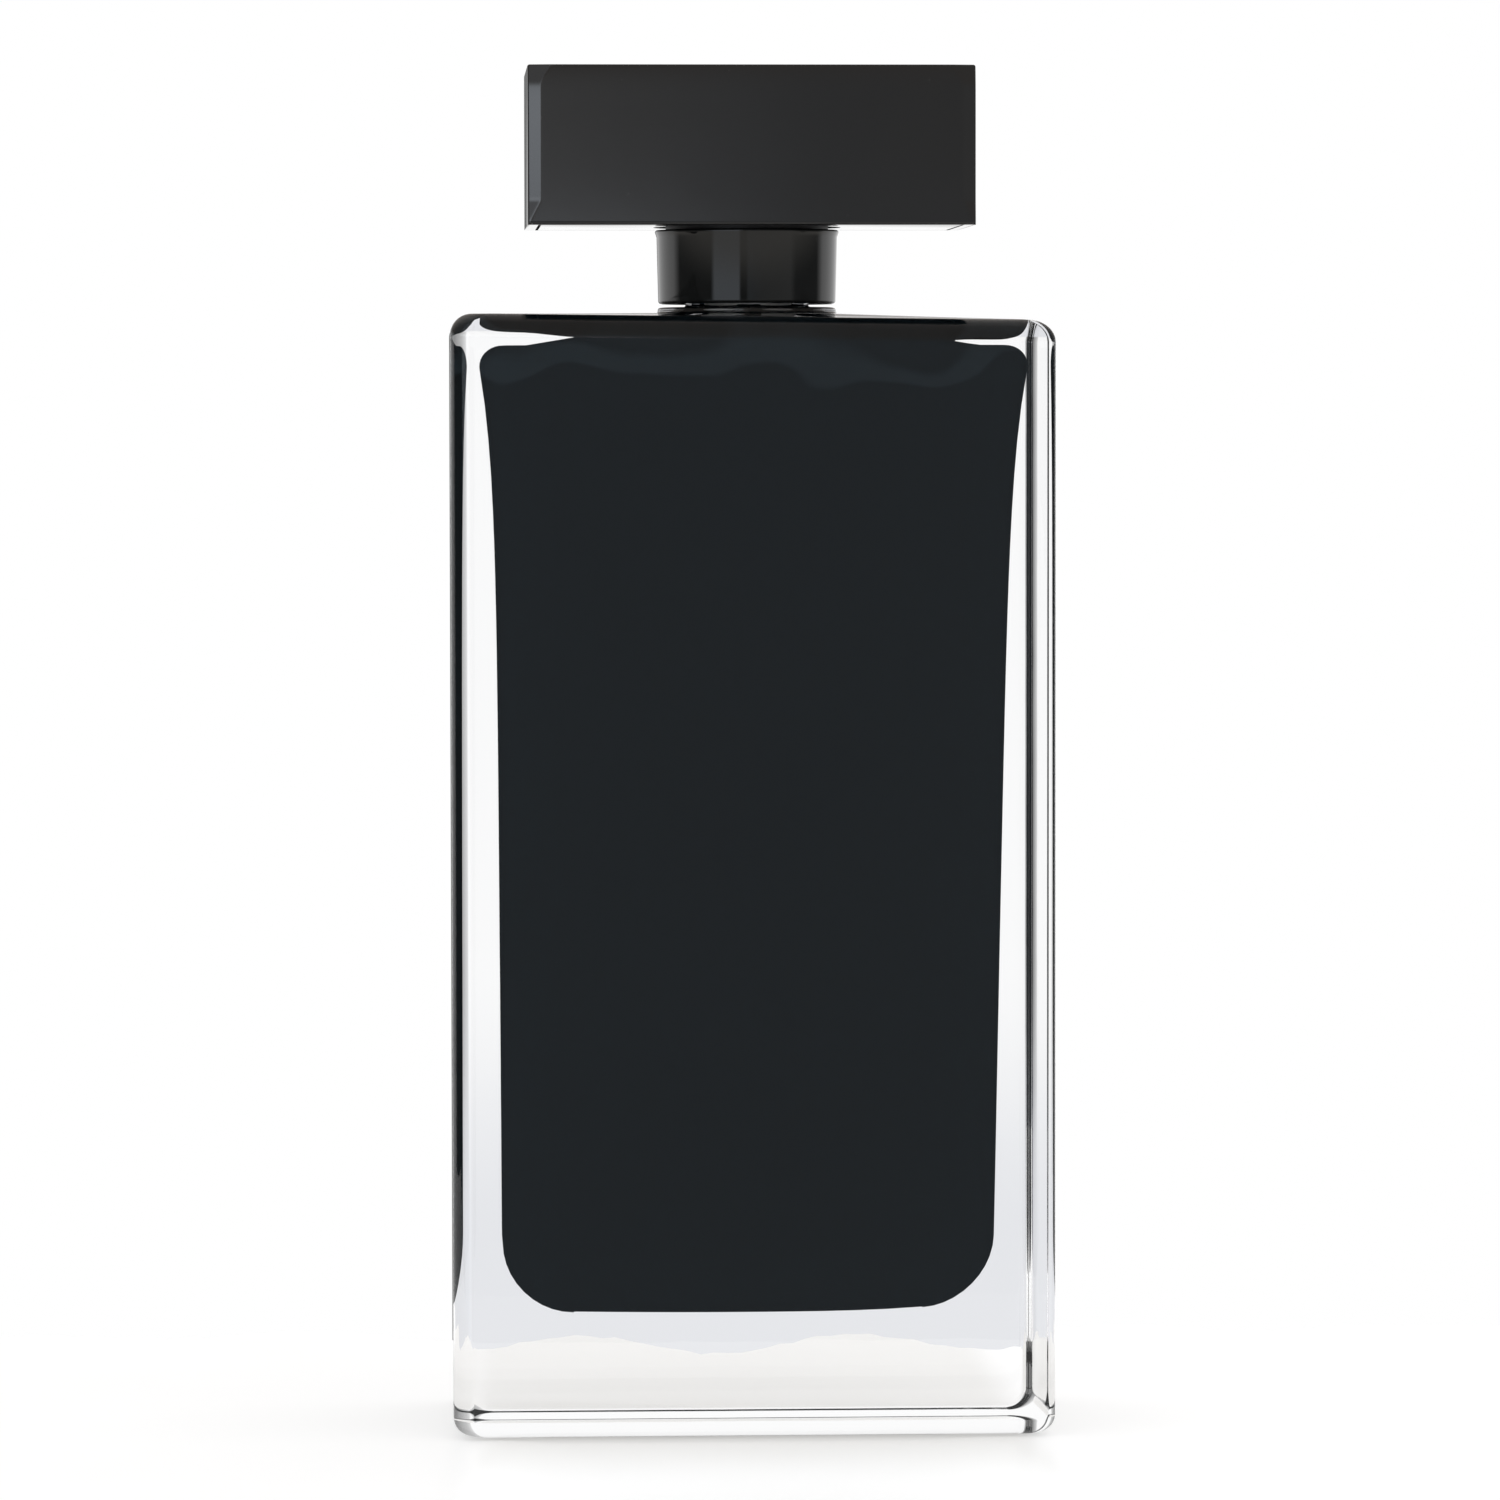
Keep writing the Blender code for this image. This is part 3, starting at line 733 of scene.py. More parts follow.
def hollow_body(grow):
    """The hollow's wall, open where the neck begins, with its rim. grow moves the wall outwards."""
    low = Vector((-CAVITY_HALF_WIDTH - grow, -CAVITY_HALF_DEPTH - grow, CAVITY_FLOOR - grow))
    high = Vector((CAVITY_HALF_WIDTH + grow, CAVITY_HALF_DEPTH + grow, CAVITY_CEILING + grow))
    shape = rounded_block(low, high, CAVITY_SIDE_RADIUS, CAVITY_TOP_RADIUS, CAVITY_FLOOR_RADIUS, 10)
    wall_low, wall_high = CAVITY_FLOOR + CAVITY_FLOOR_RADIUS, CAVITY_CEILING - CAVITY_TOP_RADIUS
    slice_body(shape, 2, even_places(wall_low, wall_high, 24))
    slice_body(shape, 0, even_places(-26 * MM, 26 * MM, 14))
    rim = open_top(shape, high.z)
    for vert in shape.verts:
        settle(vert)
    return shape, rim


def settle(vert):
    """Moves a point of the plain hollow to where the glass settled: flared, leaning and uneven."""
    spread = cavity_spread(vert.co.z)
    share = vert.co.x / CAVITY_HALF_WIDTH
    near_floor = max(0.0, 1.0 - (vert.co.z - CAVITY_FLOOR) / (14 * MM))
    lean = CAVITY_LEAN * (vert.co.z - 0.6 * CAVITY_CEILING)
    vert.co.x = vert.co.x * (1.0 + spread / CAVITY_HALF_WIDTH) + lean
    vert.co.y *= 1.0 + 0.5 * spread / CAVITY_HALF_DEPTH
    vert.co.z += near_floor * (0.35 * MM * share**2 + 1.1 * MM * max(0.0, share) ** 4)
    near_ceiling = min(1.0, max(0.0, 1.0 - (CAVITY_CEILING - vert.co.z) / (5 * MM)))
    near_middle = min(1.0, max(0.0, (25 * MM - abs(vert.co.x)) / (9 * MM)))
    vert.co.z += CAVITY_HUMP * near_ceiling * near_middle


def hollow_with_funnel(grow, top):
    """The hollow's wall with the funnel that leads into the bore up to a height."""
    shape, rim = hollow_body(grow)
    ring = add_ring(shape, FUNNEL_RADIUS + grow, CAVITY_CEILING + CAVITY_HUMP + 0.1 * MM + grow, len(rim))
    bmesh.ops.bridge_loops(shape, edges=rim + ring)
    shoulder = bpy.context.scene.bottle_glass.shoulder_height
    ring = grow_ring(shape, ring, BORE_RADIUS + grow, shoulder + 0.3 * MM)
    ring = grow_ring(shape, ring, BORE_RADIUS + grow, top)
    return shape, ring


SUPPORT = 0.08 * MM  # width of the flat strip beside each rounding
REAR_RIGHT_RADIUS = 0.8 * MM
REAR_LEFT_RADIUS = 2.8 * MM
FRONT_RIGHT_RADIUS = 1.1 * MM
REAR_HEEL_SHARE = 0.14  # of the heel radius
FRONT_HEEL_SHARE = 1.05
CROWN_REACH = 12 * MM  # depth below the shoulder at which the crown has faded out
CROWN_TILT = 0.87  # share of the crown that is moved from the left end to the right


def neck_profile(shoulder, top):
    """(radius, height) points of the boss and the neck's outside, from the shoulder to the mouth."""
    boss, boss_top = 10.05 * MM, shoulder + 0.7 * MM
    neck, bead, bead_bottom = 6.9 * MM, 7.45 * MM, top - 3.0 * MM
    points = arc(boss + 0.3 * MM, shoulder + 0.3 * MM, 0.3 * MM, 270, 180, 4)
    points += arc(boss - 0.3 * MM, boss_top - 0.3 * MM, 0.3 * MM, 0, 90, 5)
    points += arc(neck + 0.4 * MM, boss_top + 0.4 * MM, 0.4 * MM, 270, 180, 4)
    points += [(neck, bead_bottom - 0.1 * MM)]
    points += arc(bead - 0.5 * MM, bead_bottom + 0.6 * MM, 0.5 * MM, -50, 0, 4)
    points += arc(bead - 0.6 * MM, top - 0.6 * MM, 0.6 * MM, 0, 90, 5)
    points += arc(BORE_RADIUS + 0.3 * MM, top - 0.3 * MM, 0.3 * MM, 90, 180, 4)
    return points


def rim_inset(radius, rise):
    """How far a rounding of the given radius stands in from the wall, at a rise from where it ends."""
    short = max(0.0, radius - rise)
    return radius - math.sqrt(max(0.0, radius**2 - short**2))


def glass_outline(sizes, low, high, height):
    """The glass's level outline, with the rounding of its rim and its heel taken off."""
    top = rim_inset(sizes.rim_radius, high.z - height)
    side = top + rim_inset(sizes.heel_radius, height)
    back = top + rim_inset(REAR_HEEL_SHARE * sizes.heel_radius, height)
    front = top + rim_inset(FRONT_HEEL_SHARE * sizes.heel_radius, height)
    corners = (
        (high.x - side - sizes.draw_in, high.y - back, REAR_RIGHT_RADIUS, 0),
        (low.x + side, high.y - back, REAR_LEFT_RADIUS, 90),
        (low.x + side, low.y + front, sizes.edge_radius, 180),
        (high.x - side, low.y + front, FRONT_RIGHT_RADIUS, 270),
    )
    points = []
    for x, y, radius, start in corners:
        first, last = math.radians(start), math.radians(start + 90)
        half = (first + last) / 2
        outwards = Vector((math.cos(half), math.sin(half), 0.0))
        middle = Vector((x, y, height)) - radius * math.sqrt(2.0) * outwards
        ring = [first + (last - first) * i / 10 for i in range(11)]
        arcs = [middle + radius * Vector((math.cos(a), math.sin(a), 0.0)) for a in ring]
        before = Vector((math.sin(first), -math.cos(first), 0.0)) * SUPPORT
        after = Vector((-math.sin(last), math.cos(last), 0.0)) * SUPPORT
        points += [arcs[0] + before] + arcs + [arcs[-1] + after]
    return points


def glass_shape(sizes):
    """The glass: its rounded outside, its neck, and its hollow joined on at the bore."""
    low, high = (Vector(corner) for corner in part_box("glass_bottle"))
    mouth = high.z
    high.z = sizes.shoulder_height
    shape = bmesh.new()
    loops = []
    for height in outline_heights(sizes, high.z):
        points = [shape.verts.new(point) for point in glass_outline(sizes, low, high, height)]
        loops.append([shape.edges.new((points[i - 1], points[i])) for i in range(len(points))])
    for lower, upper in zip(loops, loops[1:]):
        bmesh.ops.bridge_loops(shape, edges=lower + upper)
    bmesh.ops.edgeloop_fill(shape, edges=loops[0])
    for vert in shape.verts:
        lift = max(0.0, (vert.co.z - high.z + CROWN_REACH) / CROWN_REACH)
        share = vert.co.x / high.x
        vert.co.z -= sizes.crown * lift * (share**2 + CROWN_TILT * share**3)
    profile = neck_profile(high.z, mouth)
    ring = add_ring(shape, profile[0][0], profile[0][1], len(loops[-1]))
    bmesh.ops.bridge_loops(shape, edges=loops[-1] + ring)
    for radius, height in profile[1:]:
        ring = grow_ring(shape, ring, radius, height)
    bore_height = high.z + 1.0 * MM
    hollow, _ = hollow_with_funnel(0.0, bore_height)
    add_body(shape, hollow)
    bore = [
        edge for edge in shape.edges
        if edge.is_boundary and all(abs(vert.co.z - bore_height) < HAIR for vert in edge.verts)
    ]
    bmesh.ops.bridge_loops(shape, edges=ring + bore)
    return shape


def outline_heights(sizes, shoulder):
    """Heights of the glass's level outlines, close together where the heel and the rim are rounded."""
    heel, rim = FRONT_HEEL_SHARE * sizes.heel_radius, sizes.rim_radius
    heights = [heel * (1.0 - math.cos(math.radians(5.0 * i))) for i in range(18)]
    heights += [heel, heel + SUPPORT, shoulder - rim - SUPPORT]
    heights += [shoulder - rim + rim * math.sin(math.radians(7.5 * i)) for i in range(13)]
    return heights


def add_body(shape, other):
    """Adds the other bmesh to the shape, and frees it."""
    mesh = bpy.data.meshes.new("joined")
    other.to_mesh(mesh)
    other.free()
    shape.from_mesh(mesh)
    bpy.data.meshes.remove(mesh)


class BOTTLE_OT_glass(bpy.types.Operator):
    """Model the thick clear glass with its neck and its hollow"""

    bl_idname = "bottle.glass"
    bl_label = "Glass"

    def execute(self, context):
        look = context.scene.bottle_look
        shape = glass_shape(context.scene.bottle_glass)
        finish_piece("flacon_glass", shape, "bottle", ["glass_bottle"], clear_glass(look))
        return {"FINISHED"}


class BOTTLE_OT_coat(bpy.types.Operator):
    """Model the black coat that is bonded to the inside of the glass"""

    bl_idname = "bottle.coat"
    bl_label = "Inner Coat"

    def execute(self, context):
        sizes = context.scene.bottle_glass
        shape, _ = hollow_with_funnel(sizes.wall_bite, sizes.shoulder_height + 0.7 * MM)
        piece = finish_piece(
            "lacquer_coat", shape, "bottle", ["inner_lacquer"],
            black_lacquer(context.scene.bottle_look),
        )
        wall = piece.modifiers.new("coat", "SOLIDIFY")
        wall.thickness = 0.3 * MM
        wall.offset = -1.0
        return {"FINISHED"}


# Collar and cap

FINE_STEPS = 128  # facets round the glossy turned pieces
COLLAR_FOOT_RADIUS = 10.0 * MM
COLLAR_TOP_RADIUS = 10.17 * MM


class BOTTLE_OT_collar(bpy.types.Operator):
    """Turn the glossy collar between the glass and the cap, and the ring inside it"""

    bl_idname = "bottle.collar"
    bl_label = "Collar"

    def execute(self, context):
        look = context.scene.bottle_look
        low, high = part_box("collar_shell")
        foot, top, lip = low[2], high[2], high[0]
        bore, seat = 9.7 * MM, 9.45 * MM
        profile = [(bore, foot)]
        profile += arc(COLLAR_FOOT_RADIUS - 0.35 * MM, foot + 0.35 * MM, 0.35 * MM, -90, 0, 6)
        profile += [(COLLAR_TOP_RADIUS, top - 0.8 * MM)]
        profile += arc(lip - 0.25 * MM, top - 0.25 * MM, 0.25 * MM, -20, 90, 6)
        profile += [(seat, top), (seat, top - 0.5 * MM), (bore, top - 0.5 * MM)]
        gloss = polished_plastic("collar_plastic", tuple(look.collar_colour), 0.012)
        sleeve = lathe(profile, FINE_STEPS)
        finish_piece("collar_sleeve", sleeve, "collar", ["collar_shell"], gloss)

        ring = lathe(soften(in_mm(GRIP_RING), 0.15 * MM), look.turned_steps)
        finish_piece("grip_ring", ring, "collar", ["collar_insert"], satin_plastic(look))
        return {"FINISHED"}


def cap_fall(sizes, from_end, from_top, from_mouth, height):
    """How far a long face of the cap falls away near its ends, its top and its mouth."""
    near_top = max(0.0, 1.0 - from_top / (2.4 * MM)) ** 1.5
    off_mouth = min(1.0, max(0.0, (from_mouth - 0.5 * MM) / (2.2 * MM)))
    reach = sizes.bevel_reach + 1.2 * MM * near_top
    reach = 0.3 * MM + (reach - 0.3 * MM) * off_mouth
    over = reach - from_end
    bevel = sizes.bevel_slope * (over + math.sqrt(over**2 + (0.04 * MM) ** 2)) / 2
    pillow = sizes.pillow * max(0.0, 1.0 - 2.0 * from_top / height) ** 4
    return bevel + pillow


def cap_shape(sizes, low, high):
    """The cap's box with its hollow, its small rounded edges and its softly rolled long faces."""
    shape = new_body(low, high)
    mouth = level_face(shape, low.z)
    bmesh.ops.inset_region(shape, faces=[mouth], thickness=sizes.wall, use_even_offset=True)
    made = bmesh.ops.extrude_discrete_faces(shape, faces=[mouth])["faces"]
    bmesh.ops.translate(shape, vec=(0.0, 0.0, high.z - low.z - sizes.wall), verts=made[0].verts)
    shape.normal_update()
    outside = [
        edge for edge in shape.edges
        if all(max(abs(v.co.x) - high.x, abs(v.co.y) - high.y) > -HAIR for v in edge.verts)
        and not (all(v.co.z < low.z + HAIR for v in edge.verts) and max(v.co.y for v in edge.verts) > 0.0)
    ]
    round_edges(shape, outside, sizes.edge_radius, 5)
    from_ends = (*even_places(0.3, 2.0, 18), 2.2, 2.5, 2.9, 3.5)
    ends = [high.x - reach * MM for reach in from_ends]
    slice_body(shape, 0, [side * place for place in ends for side in (-1, 1)])
    slice_body(shape, 0, even_places(-0.85 * high.x, 0.85 * high.x, 11))
    near = [reach * MM for reach in even_places(0.2, 4.0, 16)]
    slice_body(shape, 2, [high.z - place for place in near] + [low.z + place for place in near])
    slice_body(shape, 2, even_places(low.z + 4.0 * MM, high.z - 4.0 * MM, 8))
    height = high.z - low.z
    for vert in shape.verts:
        if abs(vert.co.y) > high.y - sizes.wall / 2:
            from_end = high.x - abs(vert.co.x)
            fall = cap_fall(sizes, from_end, high.z - vert.co.z, vert.co.z - low.z, height)
            vert.co.y -= math.copysign(fall, vert.co.y)
    return shape


class BOTTLE_OT_cap(bpy.types.Operator):
    """Model the rectangular cap, the cup that grips the collar and the plate round its mouth"""

    bl_idname = "bottle.cap"
    bl_label = "Cap"

    def execute(self, context):
        look, sizes = context.scene.bottle_look, context.scene.bottle_cap
        low, high = (Vector(corner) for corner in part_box("cap_shell"))
        polish = polished_plastic("cap_plastic", tuple(look.cap_colour), 0.05)
        finish_piece("cap_case", cap_shape(sizes, low, high), "cap", ["cap_shell"], polish)

        mouth = low.z
        foot, cup_top = mouth / MM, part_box("cap_liner")[1][2] / MM
        cup = [(0.0, cup_top), (9.85, cup_top), (10.25, cup_top - 0.4), (10.25, foot), (9.85, foot)]
        cup += [(9.45, foot + 0.4), (9.45, cup_top - 0.5), (0.0, cup_top - 0.5)]
        shape = lathe(soften(in_mm(cup), 0.1 * MM), look.turned_steps)
        satin = bpy.data.materials["inner_plastic"]
        finish_piece("cap_cup", shape, "cap", ["cap_liner"], satin)

        low, high = (Vector(corner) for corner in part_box("cap_base_plate"))
        low.z = mouth
        shape = rounded_block(low, high, 0.5 * MM, 0.15 * MM, 0.03 * MM, 4)
        hole = rod(10.55 * MM, 20 * MM, Matrix.Translation((0.0, 0.0, low.z)))
        gloss = polished_plastic("plate_plastic", tuple(look.inner_colour), 0.03)
        finish_piece("mouth_plate", carve(shape, hole), "cap", ["cap_base_plate"], gloss)
        dress("cap_weight", cast_metal())
        return {"FINISHED"}


# Spray button and pump, with (radius, height) points in millimetres

NOZZLE_HEIGHT = 146.9 * MM
GRIP_RING = [
    (8.45, 126.5), (9.15, 126.5), (9.15, 137.3), (9.3, 137.6), (9.15, 137.9), (9.15, 138.9), (8.85, 139.2),
    (8.45, 139.2), (8.45, 136.5), (6.9, 136.5), (6.9, 136.0), (8.45, 136.0),
]
BUTTON_CORE = [
    (0.0, 148.6), (5.6, 148.6), (5.6, 141.4), (4.8, 141.4), (4.8, 144.8), (2.8, 144.8), (2.8, 141.9),
    (1.8, 141.9), (1.8, 145.9), (0.7, 145.9), (0.7, 147.7), (0.0, 147.7),
]
NOZZLE = [(0.3, 5.35), (0.75, 5.5), (1.4, 5.5), (1.4, 3.5), (0.9, 3.5), (0.9, 4.7), (0.3, 5.0)]
STEM = [(0.7, 128.6), (1.5, 128.6), (1.5, 145.3), (1.2, 145.6), (0.7, 145.6)]
PISTON = [
    (1.8, 128.4), (2.9, 128.4), (2.9, 129.0), (2.55, 129.3), (2.55, 130.1), (2.9, 130.4), (2.9, 131.0),
    (1.8, 131.0),
]
BUSH = [(1.8, 131.3), (2.9, 131.3), (2.9, 135.0), (1.8, 135.0)]
BARREL = [
    (3.2, 135.0), (7.3, 135.0), (7.3, 134.5), (3.9, 134.5), (3.9, 112.0), (2.2, 110.5), (2.2, 104.0),
    (1.5, 104.0), (1.5, 110.0), (0.6, 110.4), (0.6, 111.0), (1.4, 111.4), (1.4, 114.0), (3.2, 114.0),
]
TUBE = [(0.65, 15.5), (1.2, 15.5), (1.2, 109.7), (0.65, 109.7)]
CRIMP_CUP = [
    (2.3, 135.7), (8.15, 135.7), (8.15, 129.9), (7.75, 129.5), (7.2, 129.5), (7.2, 129.9), (7.75, 130.3),
    (7.75, 135.3), (2.3, 135.3),
]
SEAL = [(4.2, 133.7), (7.3, 133.7), (7.3, 134.2), (4.2, 134.2)]


class BOTTLE_OT_button(bpy.types.Operator):
    """Turn the spray button: its dished cover, its core and the nozzle in its window"""

    bl_idname = "bottle.button"
    bl_label = "Spray Button"

    def execute(self, context):
        look, sizes = context.scene.bottle_look, context.scene.bottle_button
        low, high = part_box("actuator_cover")
        radius, top, rim = high[0], high[2], sizes.rim_radius
        inner, ceiling = radius - 0.5 * MM, top - 0.9 * MM
        dished = (0.0, 0.25, 0.5, 0.7, 0.85)
        profile = [(share * (radius - rim), top - sizes.dish * (1.0 - share**3)) for share in dished]
        profile += arc(radius - rim, top - rim, rim, 95, 0, 8)
        profile += arc(radius - 0.1 * MM, low[2] + 0.1 * MM, 0.1 * MM, 0, -90, 3)
        profile += [(inner, low[2]), (inner, ceiling), (0.0, ceiling)]
        window = sizes.window_radius
        pocket = (window, -2 * radius, -3.0 * MM, NOZZLE_HEIGHT)
        cover = drill(lathe(profile, FINE_STEPS), *pocket)
        gloss = bpy.data.materials["collar_plastic"]
        finish_piece("button_cover", cover, "actuator", ["actuator_cover"], gloss)

        core = drill(lathe(soften(in_mm(BUTTON_CORE), 0.15 * MM), look.turned_steps), *pocket)
        core = drill(core, 0.45 * MM, -2 * radius, -0.1 * MM, NOZZLE_HEIGHT)
        satin = bpy.data.materials["inner_plastic"]
        finish_piece("button_core", core, "actuator", ["actuator_core"], satin)

        nozzle = lathe(soften(in_mm(NOZZLE), 0.08 * MM), FINE_STEPS // 2)
        bmesh.ops.rotate(nozzle, cent=(0.0, 0.0, 0.0), matrix=ALONG_Y.to_3x3(), verts=nozzle.verts)
        bmesh.ops.translate(nozzle, vec=(0.0, 0.0, NOZZLE_HEIGHT), verts=nozzle.verts)
        milky = pump_plastic(look)
        finish_piece("nozzle_disc", nozzle, "actuator", ["nozzle_insert"], milky)
        return {"FINISHED"}


class BOTTLE_OT_pump(bpy.types.Operator):
    """Turn the pump's parts, its crimp cup, its seal and its tube"""

    bl_idname = "bottle.pump"
    bl_label = "Pump"

    def execute(self, context):
        steps = context.scene.bottle_look.turned_steps
        milky = bpy.data.materials["pump_plastic"]
        aluminium = spun_metal("ferrule_aluminium", (0.82, 0.82, 0.83), 0.22, (0.1, 0.1, 1.0))
        steel = spun_metal("spring_steel", (0.62, 0.61, 0.60), 0.2, (1.0, 1.0, 0.3))
        rows = (
            ("pump_barrel", BARREL, "bottle", "pump_plastic", "pump_housing", milky),
            ("barrel_bush", BUSH, "bottle", "pump_plastic", "pump_retainer", milky),
            ("suction_tube", TUBE, "bottle", "tube_plastic", "dip_tube", tube_plastic()),
            ("crimp_cup", CRIMP_CUP, "bottle", "ferrule_aluminium", "crimp_ferrule", aluminium),
            ("mouth_seal", SEAL, "bottle", "seal_rubber", "neck_gasket", seal_rubber()),
            ("hollow_stem", STEM, "stem", "pump_plastic", "valve_stem", milky),
            ("piston_ring", PISTON, "stem", "pump_plastic", "piston", milky),
        )
        for name, profile, body, slot, node, material in rows:
            finish_piece(name, lathe(soften(in_mm(profile), 0.15 * MM), steps), body, [node], material)

        low, high = (Vector(corner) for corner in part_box("inlet_ball"))
        ball = bmesh.new()
        centre, radius = Matrix.Translation((low + high) / 2), (high.z - low.z) / 2
        bmesh.ops.create_uvsphere(ball, u_segments=48, v_segments=32, radius=radius, matrix=centre)
        finish_piece("valve_ball", ball, "ball", ["inlet_ball"], steel)
        low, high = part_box("return_spring")
        wire = coil(2.1 * MM, 0.25 * MM, low[2], high[2], 6)
        spring = finish_piece("coil_spring", wire, "bottle", ["return_spring"], steel)
        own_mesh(spring)
        return {"FINISHED"}


# Stage

BLUISH = (0.93, 1.0, 1.09)
NEUTRAL = (1.0, 1.0, 1.0)
COLLAR_BAND = (0.0133, 0.0139)  # upward share of a ray's direction, where one ring of panels gives way
CAP_BAND = (0.0232, 0.0242)
LOW_PANELS = (
    (-180, 0.2, False), (-172, 0.2, False), (-166, 1.0, False), (-112, 1.0, False), (-100, 0.12, False),
    (-50, 0.10, False), (-45, 1.1, True), (-13, 1.1, True), (-10.5, 0.10, False), (-3.2, 0.10, False),
    (-1.0, 0.34, True), (20, 0.34, False), (56, 0.40, False), (64, 0.14, False), (100, 0.12, False),
    (112, 1.0, False), (180, 1.1, False),
)
COLLAR_PANELS = (
    (-180, 0.2, False), (-172, 0.2, False), (-166, 1.0, False), (-118, 0.9, False), (-104, 0.2, False),
    (-98, 0.06, False), (-52, 0.10, False), (-48.5, 1.1, True), (-12.5, 1.1, True), (-11, 0.10, False),
    (-3.0, 0.10, False), (-2.0, 2.2, True), (1.8, 2.2, True), (2.6, 0.42, True), (20, 0.42, False),
    (57, 0.40, False), (72, 0.10, False), (110, 0.12, False), (122, 0.8, False), (140, 1.0, False),
    (180, 1.1, False),
)
THROUGH_PANELS = (
    (-180, 1.0, False), (-167, 1.0, False), (-165, 0.62, False), (-155, 0.35, False), (-135, 0.12, False),
    (-60, 0.12, False), (-35, 0.7, False), (35, 0.7, False), (60, 0.12, False), (135, 0.12, False),
    (155, 0.35, False), (168, 0.52, False), (172.8, 0.68, False), (174, 1.0, False), (180, 1.0, False),
)
CAP_PANELS = (
    (-180, 0.2, False), (-172, 0.2, False), (-166, 1.0, False), (-112, 1.0, False), (-100, 0.12, False),
    (-60, 0.10, False), (-52, 3.0, True), (-8.5, 3.4, True), (-7.0, 0.80, False), (0.8, 0.76, False),
    (2.2, 0.36, True), (4.4, 0.31, False), (40, 0.40, False), (56, 0.50, False), (64, 0.14, False),
    (100, 0.12, False), (112, 1.0, False), (180, 1.1, False),
)


def studio_world(scene):
    """White surroundings for the view and the glass, and soft light panels for reflections."""
    world = bpy.data.worlds.new("studio")
    world.use_nodes = True
    scene.world = world
    graph = Graph(world.node_tree)
    direction = graph.node("ShaderNodeTexCoord").outputs["Generated"]
    parts = graph.node("ShaderNodeSeparateXYZ", None, {0: direction})
    east, north = Value(graph, parts.outputs[0]), Value(graph, parts.outputs[1])
    turn = graph.value("ShaderNodeMath", {"operation": "ARCTAN2"}, {0: east, 1: north * -1.0})
    share = turn * (0.5 / math.pi) + 0.5

    def panels(stops):
        """Light panels round the horizon, from (degrees from the front, level, is it bluish)."""
        colours = [
            (degrees / 360.0 + 0.5, tuple(level * c for c in (BLUISH if bluish else NEUTRAL)))
            for degrees, level, bluish in stops
        ]
        ring = graph.node("ShaderNodeValToRGB", {"stops": colours, "interpolation": "LINEAR"}, {0: share})
        return Value(graph, ring.outputs[0])

    height = Value(graph, parts.outputs[2])
    ring = graph.blend(graph.ramp(height, *COLLAR_BAND), panels(LOW_PANELS), panels(COLLAR_PANELS))
    ring = graph.blend(graph.ramp(height, *CAP_BAND), ring, panels(CAP_PANELS))
    ring = graph.blend(graph.ramp(height, 0.07, 0.26) * 0.85, ring, (0.34, 0.30, 0.27))
    ring = graph.blend(graph.ramp(height * -1.0, 0.15, 0.32) * 0.7, ring, (0.80, 0.76, 0.70))
    low_sky = graph.ramp(height * -1.0, 0.078, 0.118)
    through = graph.blend(low_sky * 0.9, panels(THROUGH_PANELS), (0.79, 0.80, 0.83))
    path = graph.node("ShaderNodeLightPath")
    colour = graph.blend(Value(graph, path.outputs["Is Glossy Ray"]), (1.12, 1.12, 1.12), ring)
    colour = graph.blend(Value(graph, path.outputs["Is Transmission Ray"]), colour, through)
    colour = graph.blend(Value(graph, path.outputs["Is Camera Ray"]), colour, (1.0, 1.0, 1.0))
    background = graph.node("ShaderNodeBackground", None, {"Color": colour, "Strength": 1.0})
    graph.node("ShaderNodeOutputWorld", None, {"Surface": background.outputs[0]})


FLOOR_HEIGHT = -0.12 * MM  # just under the base, so that their faces don't coincide
FLOOR_HALF_WIDTH = 0.3
FLOOR_FRONT = -0.1


def floor_edge(x, i):
    """The plate's back edge, with long waves and a fine ragged line, where the painted shadow on it ends."""
    waves = 9 * MM * math.cos(math.tau * (x + 1 * MM) / (34 * MM)) * math.exp(-((x / 0.06) ** 2))
    return 0.075 - waves + 1.5 * MM * math.sin(12.9898 * i) * math.sin(4.1 * i)


def stage_floor():
    """A pale plate with a glow of its own, so that only a soft shade shows at the bottle's foot; there the
    glow is also dimmed, as a painted shadow.
    """
    shape = bmesh.new()
    half, count = FLOOR_HALF_WIDTH, 360
    back = [half - 2 * half * i / count for i in range(count + 1)]
    outline = [(-half, FLOOR_FRONT), (half, FLOOR_FRONT)]
    outline += [(x, floor_edge(x, i)) for i, x in enumerate(back)]
    points = [shape.verts.new((x, y, FLOOR_HEIGHT)) for x, y in outline]
    border = [shape.edges.new((points[i - 1], points[i])) for i in range(len(points))]
    bmesh.ops.edgeloop_fill(shape, edges=border)
    mesh = bpy.data.meshes.new("floor")
    shape.to_mesh(mesh)
    shape.free()
    floor = bpy.data.objects.new("floor", mesh)
    bpy.context.scene.collection.objects.link(floor)
    material, graph = new_material("pale_floor")
    grain = graph.noise(30 * MM, 3.0)
    parts = graph.node("ShaderNodeSeparateXYZ", None, {0: graph.place()})
    # Painted shadow: the glow turns greyer in a band as wide as the bottle, from just in front of it to the
    # plate's back edge, fading out at the sides and to the front.
    beside = graph.ramp(Value(graph, parts.outputs[0]).math("ABSOLUTE"), 0.028, 0.0335)
    before = graph.ramp(Value(graph, parts.outputs[1]) * -1.0, 0.018, 0.050)
    outside_painted_shadow = beside.math("MAXIMUM", before)
    graph.surface(
        {
            "Base Color": graph.blend(grain, (0.42, 0.42, 0.42), (0.44, 0.44, 0.44)),
            "Roughness": 0.35 + 0.1 * grain,
            "Specular IOR Level": 0.2,
            "Emission Color": graph.blend(outside_painted_shadow, (0.80, 0.79, 0.77), (1.0, 1.0, 1.0)),
            "Emission Strength": 0.6,
        }
    )
    mesh.materials.append(material)


